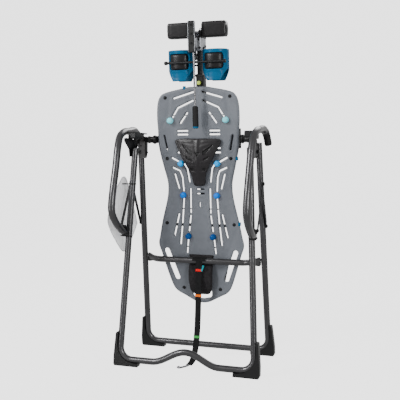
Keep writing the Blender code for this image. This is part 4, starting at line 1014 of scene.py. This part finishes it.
def bed_fittings():
    """Screws, standoffs and edge clips of the bed, and its steel loop."""
    for label, side in SIDES:
        for k, (x, s) in enumerate(BED_SCREWS):
            n = face_depth(x, s)
            bolt(f"bed_screw_{k + 1}_{label}", "bed", bed_point(side * x, n - 0.0002, s), OUT, 0.0062, 0.0030)
            spacer = turned([(0, 0.0095), (0.002, 0.0105), (RAIL_DEPTH - n - 0.018, 0.0105)],
                            bed_point(side * min(x, 0.172), n + 0.010, s), -OUT, 24)
            piece(f"bed_standoff_{k + 1}_{label}", spacer, "bed", "black_plastic")
    route = [bed_point(x, RAIL_DEPTH, s) for x, s in RAIL_HALF]
    route += [bed_point(-x, RAIL_DEPTH, s) for x, s in reversed(RAIL_HALF)]
    rails = sweep(rounded_path(route, 0.05, 8), RAIL_RADIUS, (0, 1, 0), 20)
    piece("bed_rail_loop", rails, "bed", "dark_steel", ("bed_rails",))
    tie = [bed_point(-RAIL_TIE_X, RAIL_DEPTH, RAIL_TIE_S), bed_point(RAIL_TIE_X, RAIL_DEPTH, RAIL_TIE_S)]
    piece("bed_rail_tie", sweep(tie, 0.008, (0, 1, 0), 16), "bed", "dark_steel")
    for k, (x, s) in enumerate(((-0.070, 0.2575), (0.1985, -0.098), (0.2075, -0.430))):
        n = face_depth(x, s)
        clip = box((x - 0.006, n - 0.0015, s - 0.009), (x + 0.006, n + BED_PLATE + 0.0015, s + 0.009), in_bed)
        piece(f"edge_clip_{k + 1}", clip, "bed", "cup_blue", bevel=0.0015)
    for k, s in enumerate((0.120, -0.020, -0.360, -0.560)):
        n = face_depth(0.0, s) + BED_PLATE
        rib = box((-0.135, n - 0.006, s - 0.0025), (0.135, n + 0.004, s + 0.0025), in_bed)
        piece(f"bed_back_rib_{k + 1}", rib, "bed", "bed_plastic", bevel=0.001)


def pressure_nodes():
    """Soft domes on round bases, each with a ring and a dimple on top."""
    for row, ((x, s), finish) in NODE_ROWS.items():
        for label, side in SIDES:
            node = f"pressure_node_{row}_{label}"
            n = min(face_depth(x + 0.016, s + ds) for ds in (-0.016, 0.016)) - 0.0006
            profile = [(0.0, 0.0152), (0.0008, 0.0160), (0.004, 0.0160), (0.0055, 0.0150), (0.0062, 0.0146),
                       (0.0072, 0.0150), (0.010, 0.0152)]
            profile += [(0.010 + 0.012 * math.sin(a), 0.0152 * math.cos(a))
                        for a in arc(10, 80, 10)]
            profile += [(0.0215, 0.0020), (0.0212, 0.0012)]
            dome = turned(profile, bed_point(side * x, n, s), OUT, 40)
            piece(f"massage_node_{row}_{label}", dome, "bed", finish, (node,))


def lumbar_bridge():
    """An arched shield with two eye openings, a raised spine and swept ribs."""
    outer = smooth_outline(BRIDGE_HALF)
    holes = [BRIDGE_NOSE] + [half_hole for hole in BRIDGE_HOLES for half_hole in both_halves(hole)]

    def lift(flat):
        arch = np.clip(1 - (flat[:, 0] / 0.140) ** 2, 0, None)
        return 0.008 + 0.032 * arch * np.exp(-((flat[:, 1] + 0.09) / 0.11) ** 2)

    def front(flat, far):
        depth = bed_face(flat) - lift(flat) - 0.001 + rounding(far, 0.003)
        depth -= 0.0022 * np.exp(-(flat[:, 0] / 0.007) ** 2)
        for rib in BRIDGE_RIBS:
            for line in both_halves(rib):
                depth -= 0.0020 * np.exp(-(distance(flat, line) / 0.0035) ** 2)
        depth += 0.0020 * np.clip(1 - np.abs(far - 0.007) / 0.003, 0, 1)
        return on_bed(flat, depth)

    def back(flat, far):
        depth = bed_face(flat) - lift(flat) + 0.004
        return on_bed(flat, depth)

    shield = plate(outer, holes, 0.005, (0.001, 0.0025), front, back)
    obj = piece("lumbar_shield", shield, "bed", "lumbar_plastic", ("lumbar_bridge",))
    obj.data.set_sharp_from_angle(angle=math.radians(60))

    # A black sheet just behind the shield paints the shade seen through its eye openings and nose hole
    def shade_sheet_at(gap):
        def place(flat, far):
            return on_bed(flat, bed_face(flat) - lift(flat) + gap)
        return place

    lining = plate(mirrored(EYE_SHADE_SHEET_HALF), [], 0.008, (0.001,), shade_sheet_at(0.0050), shade_sheet_at(0.0066))
    piece("lumbar_painted_shade_sheet", lining, "bed", "black_plastic")
    for label, side in SIDES:
        for name, (x, s) in (("outer", (0.104, -0.010)), ("inner", (0.020, -0.230))):
            n = face_depth(x, s) - float(lift(np.array([[x, s]]))[0])
            bolt(f"lumbar_screw_{name}_{label}", "bed", bed_point(side * x, n - 0.001, s), OUT, 0.0038, 0.0022,
                 washer=False)


def puff(obj, pressure, most):
    """Swells a closed cloth shape from inside, and lets no point move further than most."""
    rest = [v.co.copy() for v in obj.data.vertices]
    cloth = obj.modifiers.new("puff", "CLOTH")
    cloth.settings.use_pressure = True
    cloth.settings.uniform_pressure_force = pressure
    cloth.settings.effector_weights.gravity = 0.0
    cloth.point_cache.frame_start, cloth.point_cache.frame_end = 1, 20
    for step in range(1, 21):
        bpy.context.scene.frame_set(step)
    evaluated = obj.evaluated_get(bpy.context.evaluated_depsgraph_get())
    moved = [v.co.copy() for v in evaluated.data.vertices]
    obj.modifiers.remove(cloth)
    bpy.context.scene.frame_set(1)
    for vertex, before, after in zip(obj.data.vertices, rest, moved):
        step = after - before
        vertex.co = before + step * min(1.0, most / max(step.length, 1e-9))


def pillow():
    """The head pillow: a stuffed cushion below the crossbar, with a flat tongue up under it."""
    rings = []
    for s, width, n_back, n_front in PILLOW_RINGS:
        middle, thick = (n_back + n_front) / 2, (n_back - n_front) / 2
        rings.append([bed_point(c * width, middle + v * thick, s) for c, v in squarish(40, 0.55)])
    cushion = piece("pillow_cushion", loft(rings), "bed", "fabric", ("head_pillow",))
    remesh = cushion.modifiers.new("even", "REMESH")
    remesh.mode = "VOXEL"
    remesh.voxel_size = 0.004
    evaluated = cushion.evaluated_get(bpy.context.evaluated_depsgraph_get())
    mesh = bpy.data.meshes.new_from_object(evaluated)
    cushion.modifiers.remove(remesh)
    cushion.data = mesh
    mesh.materials.clear()
    mesh.materials.append(MATERIALS["fabric"])
    puff(cushion, 4.0, 0.006)
    mesh.shade_smooth()
    soften = cushion.modifiers.new("soften", "SMOOTH")
    soften.factor, soften.iterations = 0.5, 6
    finer = cushion.modifiers.new("finer", "SUBSURF")
    finer.levels = finer.render_levels = 1


def sleeve_and_pin():
    dress("shaft_sleeve", "black_plastic", 0.0025)
    for label, side in SIDES:
        dress("roller_hinge_" + label, "black_plastic", 0.0025)
        for k, s in enumerate((-0.034, 0.0, 0.034)):
            bolt(f"roller_bolt_{k + 1}_{label}", "bed", bed_point(side * 0.200, 0.0541, s), -OUT, 0.0055, 0.004)
        neck = [(0.0, 0.0180), (0.004, 0.0225), (0.012, 0.0225), (0.016, 0.0175), (0.030, 0.0165),
                (0.034, 0.0190), (0.042, 0.0190), (0.045, 0.0150)]
        bush = turned(neck, AXLE + Vector((side * 0.2230, 0, 0)), (side, 0, 0))
        piece("axle_bush_" + label, bush, "bed", "black_plastic")
    near, far = SHAFT_CENTRE - SHAFT_DEEP / 2, SHAFT_CENTRE + SHAFT_DEEP / 2
    turns = [2 * math.pi * k / 96 for k in range(96)]
    grooved = [(angle, 0.0100 + 0.0005 * math.cos(12 * angle)) for angle in turns]
    start = bed_point(0, near - 0.0265, 0.281)
    across, up = Vector((1, 0, 0)), ALONG
    rings = []
    for along, scale in ((0.0, 0.80), (0.001, 0.95), (0.003, 1.0), (0.010, 1.0), (0.012, 0.9), (0.0125, 0.45),
                         (0.0255, 0.45)):
        rings.append([start - OUT * along + (across * math.cos(a) + up * math.sin(a)) * (r * scale)
                      for a, r in grooved])
    piece("height_knob", loft(rings), "height_pin", "knob_yellow", ("height_pin",))
    for name, s in (("upper", 0.318), ("lower", 0.244)):
        half = SHAFT_WIDE / 2 + 0.0095
        band = box((-half, near - 0.0095, s - 0.006), (half, far + 0.0095, s + 0.006), in_bed)
        cutter = box((-half + 0.003, near - 0.0065, s - 0.02), (half - 0.003, far + 0.0065, s + 0.02), in_bed)
        obj = piece("sleeve_collar_" + name, band, "bed", "black_plastic", bevel=0.002)
        hollow(obj, cutter)


# ---------------------------------------------------------------- ankle system

def shaft():
    """The square main shaft with its row of locating holes, drawn as dark discs of painted shade, and the
    bright yoke.
    """
    dress("main_shaft", "dark_steel", 0.0015)
    dress("ankle_yoke", "bare_aluminium", 0.002)
    near = SHAFT_CENTRE - SHAFT_DEEP / 2
    # Each locating hole is a flat dark disc with no hole cut: painted shade of the hollow inside it
    discs = []
    for k in range(SHAFT_HOLES):
        s = SHAFT_LOW + 0.035 + k * (SHAFT_HIGH - SHAFT_LOW - 0.10) / (SHAFT_HOLES - 1)
        discs.append(turned([(0, 0.0050), (0.0003, 0.0048)], bed_point(0, near + 0.0001, s), OUT, 20))
    piece("shaft_hole_shade_discs", joined(*discs), "main_shaft", "sole_rubber_and_hole_shade")
    cap = box((-0.0135, near - 0.0005, SHAFT_LOW - 0.004),
              (0.0135, near + SHAFT_DEEP + 0.0005, SHAFT_LOW + 0.004), in_bed)
    piece("shaft_end_cap", cap, "main_shaft", "black_plastic", bevel=0.0015)
    for k, (n, s) in enumerate(((0.060, 0.451), (0.092, 0.462))):
        for label, side in SIDES:
            place = bed_point(side * 0.0231, n, s)
            hex_bolt(f"yoke_bolt_{k + 1}_{label}", "main_shaft", place, (side, 0, 0), 0.0060, 0.004)
    top = box((-0.0238, 0.0112, 0.500), (0.0238, 0.1128, 0.5362), in_bed)
    room = box((-0.0229, 0.0121, 0.49), (0.0229, 0.1119, 0.5354), in_bed)
    cap = piece("yoke_cap", top, "main_shaft", "black_plastic", bevel=0.0015)
    hollow(cap, room)
    hollow(cap, box((-0.0128, 0.0, 0.508), (0.0128, 0.052, 0.56), in_bed))
    tube_top = turned([(0, 0.0115), (0.010, 0.0115), (0.013, 0.0095), (0.0145, 0.005)],
                      bed_point(0.0125, 0.066, 0.536), ALONG)
    piece("yoke_tube_end", tube_top, "main_shaft", "bare_steel")
    for k, (x, s) in enumerate(((0.021, 0.451), (0.0160, 0.492))):
        bolt(f"yoke_face_bolt_{k + 1}", "main_shaft", bed_point(x - 0.003, 0.0118, s), OUT, 0.0042, 0.003)


def foot_platform():
    """Two moulded foot rests, each grooved near its ends, with end discs, on one rod."""
    for label, side in SIDES:
        steps = 24
        rings = []
        for k in range(steps + 1):
            share = k / steps
            x = side * (PLATFORM_IN + 0.0006 + (PLATFORM_HALF - PLATFORM_IN - 0.0036) * share)
            edge = min(share, 1 - share) * (PLATFORM_HALF - PLATFORM_IN)
            shrink = 1 - 0.20 * (1 - min(1.0, edge / 0.008)) ** 2
            groove = 0.0009 * sum(math.exp(-((share - middle) / 0.02) ** 2) for middle in (0.12, 0.88))
            radius = PLATFORM_TALL * shrink - groove
            rings.append(section(bed_point(x, PLATFORM_N, PLATFORM_S), Vector((side, 0, 0)), -OUT,
                                 0.8 * radius, radius, 48, 0.30))
        rest = piece("foot_rest_" + label, loft(rings), "foot_platform", "moulded_foam",
                     ("foot_platform",) if side < 0 else ())
        disc = turned([(0, 0.020), (0.0015, 0.0215), (0.003, 0.0190), (0.0034, 0.006), (0.003, 0.004)],
                      bed_point(side * (PLATFORM_HALF - 0.0034), PLATFORM_N, PLATFORM_S), (side, 0, 0))
        piece("foot_rest_disc_" + label, disc, "foot_platform", "black_plastic")
    axle = turned([(0, 0.006), (0.052, 0.006)], bed_point(-0.026, PLATFORM_N, ROD_S), (1, 0, 0))
    piece("platform_rod", axle, "foot_platform", "chrome")


def rounded_corners(low, high, top, radius):
    """The two upper corners of a panel, from its high end to its low end."""
    turns = [math.pi / 2 * k / 5 for k in range(6)]
    far = [(high - radius + radius * math.cos(a), top - radius + radius * math.sin(a)) for a in turns]
    near = [(low + radius - radius * math.sin(a), top - radius + radius * math.cos(a)) for a in turns]
    return far + near


def rounded_rectangle(low, high, radius):
    outline = []
    for k, (x, s) in enumerate(((high[0], high[1]), (low[0], high[1]), (low[0], low[1]), (high[0], low[1]))):
        centre = (x - radius if x == high[0] else x + radius, s - radius if s == high[1] else s + radius)
        turns = (math.pi / 2 * (k + j / CORNER_STEPS) for j in range(CORNER_STEPS + 1))
        outline += [(centre[0] + radius * math.cos(a), centre[1] + radius * math.sin(a)) for a in turns]
    return outline


def cup_point(side, front, angle, inset, s):
    """A point on a cup's bent wall, inset from its outer face."""
    direction = 1 if front else -1
    n = ANKLE_N - direction * CUP_GAP - direction * (CUP_DEEP - inset) * math.sin(angle)
    return bed_point(side * (CUP_CENTRE + (CUP_HALF - inset) * math.cos(angle)), n, s)


def cup_outline():
    """The flat panel of a cup: rounded at the top, with raised corners below."""
    wide, tall = CUP_CORNER
    count = round(CUP_SWEEP / 0.005)
    outline = []
    for k in range(count + 1):
        u = CUP_SWEEP * k / count
        across = abs(CUP_HALF * math.cos(math.pi * u / CUP_SWEEP))
        outline.append((u, CUP_LOW + tall / wide * max(0.0, across - (CUP_HALF - wide))))
    top = rounded_corners(0.0, CUP_SWEEP, CUP_HIGH, 0.013)
    for a, b in zip([outline[-1]] + top, top + [outline[0]]):
        steps = max(1, round(math.dist(a, b) / 0.006))
        outline += [(a[0] + (b[0] - a[0]) * k / steps, a[1] + (b[1] - a[1]) * k / steps)
                    for k in range(1, steps + 1)]
    return outline[:-1]


def cup_shell(label, side, front):
    """One ankle cup as a bent panel with rounded edges; the front one has a window."""
    kind, body = CUP_KINDS[front]
    recess = slot_outline([(0.075, 0.318), (CUP_SWEEP - 0.075, 0.318)], 0.030)

    def outer_face(flat, far):
        shrink = rounding(far, 0.0028)
        if front:
            sunk = 0.004 * np.clip(1 - distance(flat, recess, True) / 0.004, 0, 1)
            shrink = shrink + np.where(inside(flat, np.array(recess)), 0.004, sunk)
        return [cup_point(side, front, math.pi * u / CUP_SWEEP, inset, s)
                for (u, s), inset in zip(flat, shrink)]

    def inner_face(flat, far):
        return [cup_point(side, front, math.pi * u / CUP_SWEEP, CUP_WALL, s) for u, s in flat]

    holes = [rounded_rectangle((0.041, 0.346), (CUP_SWEEP - 0.041, 0.424), 0.016)] if front else []
    bm = plate(cup_outline(), holes, 0.0045, (0.0012, 0.0028), outer_face, inner_face)
    obj = piece(f"ankle_cup_{kind}_{label}", bm, body, "cup_blue", (f"{kind}_cup_{label}",))
    obj.data.set_sharp_from_angle(angle=math.radians(60))
    if front:
        rim = [cup_point(side, front, math.pi * u / CUP_SWEEP, 0.0015, s)
               for u, s in rounded_rectangle((0.037, 0.342), (CUP_SWEEP - 0.037, 0.428), 0.019)]
        rim = smooth_path(rim + [rim[0]], 4)
        piece("cup_rim_" + label, sweep(rim, 0.0030, (0, 1, 0), 12), body, "cup_blue")


def cup_pad(label, side, front):
    """The foam lining of a cup: a barrel that stands a little proud in the window."""
    kind, body = CUP_KINDS[front]
    middle, half_tall = (FOAM_INNER + FOAM_OUTER) / 2, (FOAM_HIGH - FOAM_LOW) / 2
    rings = []
    for k in range(37):
        angle = math.pi * (0.02 + 0.96 * k / 36)
        bulge = 0.0068 * max(0.0, math.sin(angle)) ** 6 if front else 0.0
        loop = []
        for c, v in squarish(28, 0.5):
            crown = bulge * max(0.0, 1 - (v * 1.35) ** 2) if c > 0 else 0.0
            inset = middle - c * (FOAM_INNER - FOAM_OUTER) / 2 - crown
            loop.append(cup_point(side, front, angle, inset, (FOAM_LOW + FOAM_HIGH) / 2 + v * half_tall))
        rings.append(loop)
    replaced = ("front_pad_" + label,) if front else ()
    obj = piece(f"ankle_pad_{kind}_{label}", loft(rings), body, "foam", replaced)
    if front:
        pad = piece("ankle_pad_block_" + label, loft(pad_drum(side)), body, "moulded_foam")


def pad_drum(side):
    """The rings of the front pad: a drum across the cup, bowed forwards in the window."""
    rings = []
    for k in range(33):
        share = -1 + 2 * k / 32
        x, bow = side * CUP_CENTRE + PAD_HALF * share, math.sqrt(max(0.0, 1 - share ** 2))
        rounded = max(0.0, 1 - max(0.0, (abs(share) - 0.86) / 0.14) ** 2) ** 0.5
        near, far = PAD_FRONT + 0.020 * (1 - bow), 0.012
        half_tall = (PAD_HIGH - PAD_LOW) / 2 * (0.80 + 0.20 * rounded)
        rings.append([bed_point(x, (near + far) / 2 + c * (far - near) / 2,
                                (PAD_LOW + PAD_HIGH) / 2 + v * half_tall) for c, v in squarish(24, 0.45)])
    return rings


def ankle_rods():
    dress("rear_cup_rod", "dark_steel")
    dress("front_cup_rod", "dark_steel")
    nubs = (
        ("cup", "front_cups", 0.143, -0.0195, 0.380,
         [(0, 0.0062), (0.0005, 0.0092), (0.012, 0.0098), (0.016, 0.0070)]),
        ("rear", "main_shaft", 0.116, ANKLE_N + 0.0680, 0.372,
         [(0, 0.0048), (0.0005, 0.0075), (0.007, 0.0080), (0.009, 0.0060)]),
    )
    for kind, body, x, n, s, profile in nubs:
        for label, side in SIDES:
            nub = turned(profile, bed_point(side * x, n, s), (side, 0, 0), 24)
            piece(f"{kind}_rod_nub_{label}", nub, body, "black_plastic")
    arm_path = smooth_path([bed_point(-0.016, 0.020, 0.470), bed_point(-0.012, 0.006, 0.452),
                            bed_point(-0.002, -0.008, 0.424), bed_point(0.006, -0.0135, 0.390)], 6)
    arm = sweep(arm_path, [(0.0085, 0.0035)] * len(arm_path), (1, 0, 0), 16, 0.6)
    piece("cup_link_arm", arm, "front_cups", "black_plastic")


def lever():
    """The long ankle lever: channel with bright edges, plated rod, ribbed grip, blue end."""
    dress("lever_channel", "black_plastic", 0.0022)
    low_s, high_s = 0.428, 0.575
    for name, x in (("left", LEVER_X - 0.0165), ("right", LEVER_X + 0.0165)):
        edge = box((x - 0.0014, LEVER_N - 0.0098, low_s), (x + 0.0014, LEVER_N - 0.0060, high_s), in_bed)
        piece("lever_edge_" + name, edge, "ankle_lever", "bare_steel", bevel=0.0006)
    for k, s in enumerate((0.470, 0.515, 0.558)):
        bolt(f"lever_bolt_{k + 1}", "ankle_lever", bed_point(LEVER_X, LEVER_N - 0.0090, s), OUT, 0.0048, 0.0028)
    start, end = bed_point(-0.001, LEVER_N - 0.004, 0.4245), bed_point(0.001, LEVER_N - 0.004, 0.160)
    piece("lever_shaft", sweep([start, end], 0.0048, sides=24), "ankle_lever", "chrome", ("lever_rod",))
    profile = [(0, 0.0100), (0.0015, 0.0122), (0.004, 0.0138)]
    for k in range(16):
        at = 0.008 + k * 0.0054
        profile += [(at, 0.0143), (at + 0.0018, 0.0148), (at + 0.0036, 0.0143)]
    profile += [(0.097, 0.0152), (0.100, 0.0145)]
    grip_start = bed_point(0.001, LEVER_N - 0.004, 0.1655)
    piece("lever_hand_grip", turned(profile, grip_start, -ALONG), "ankle_lever", "foam", ("lever_grip",))
    end_cap = [(0, 0.0140), (0.002, 0.0150), (0.006, 0.0148), (0.009, 0.0120), (0.0105, 0.006)]
    piece("lever_end_cap", turned(end_cap, grip_start - ALONG * 0.100, -ALONG), "ankle_lever", "cup_blue")


def bed():
    bed_shell()
    bed_fittings()
    pressure_nodes()
    lumbar_bridge()
    pillow()
    sleeve_and_pin()


def ankle_system():
    shaft()
    foot_platform()
    for label, side in SIDES:
        for front in (True, False):
            cup_shell(label, side, front)
            cup_pad(label, side, front)
    ankle_rods()
    lever()


def main():
    camera()
    metals()
    plastics()
    soft_materials()
    tether()
    studio()
    frame_tubes()
    feet()
    crossbar()
    hinges()
    handlebars()
    spreaders()
    caddy()
    bed()
    ankle_system()


main()
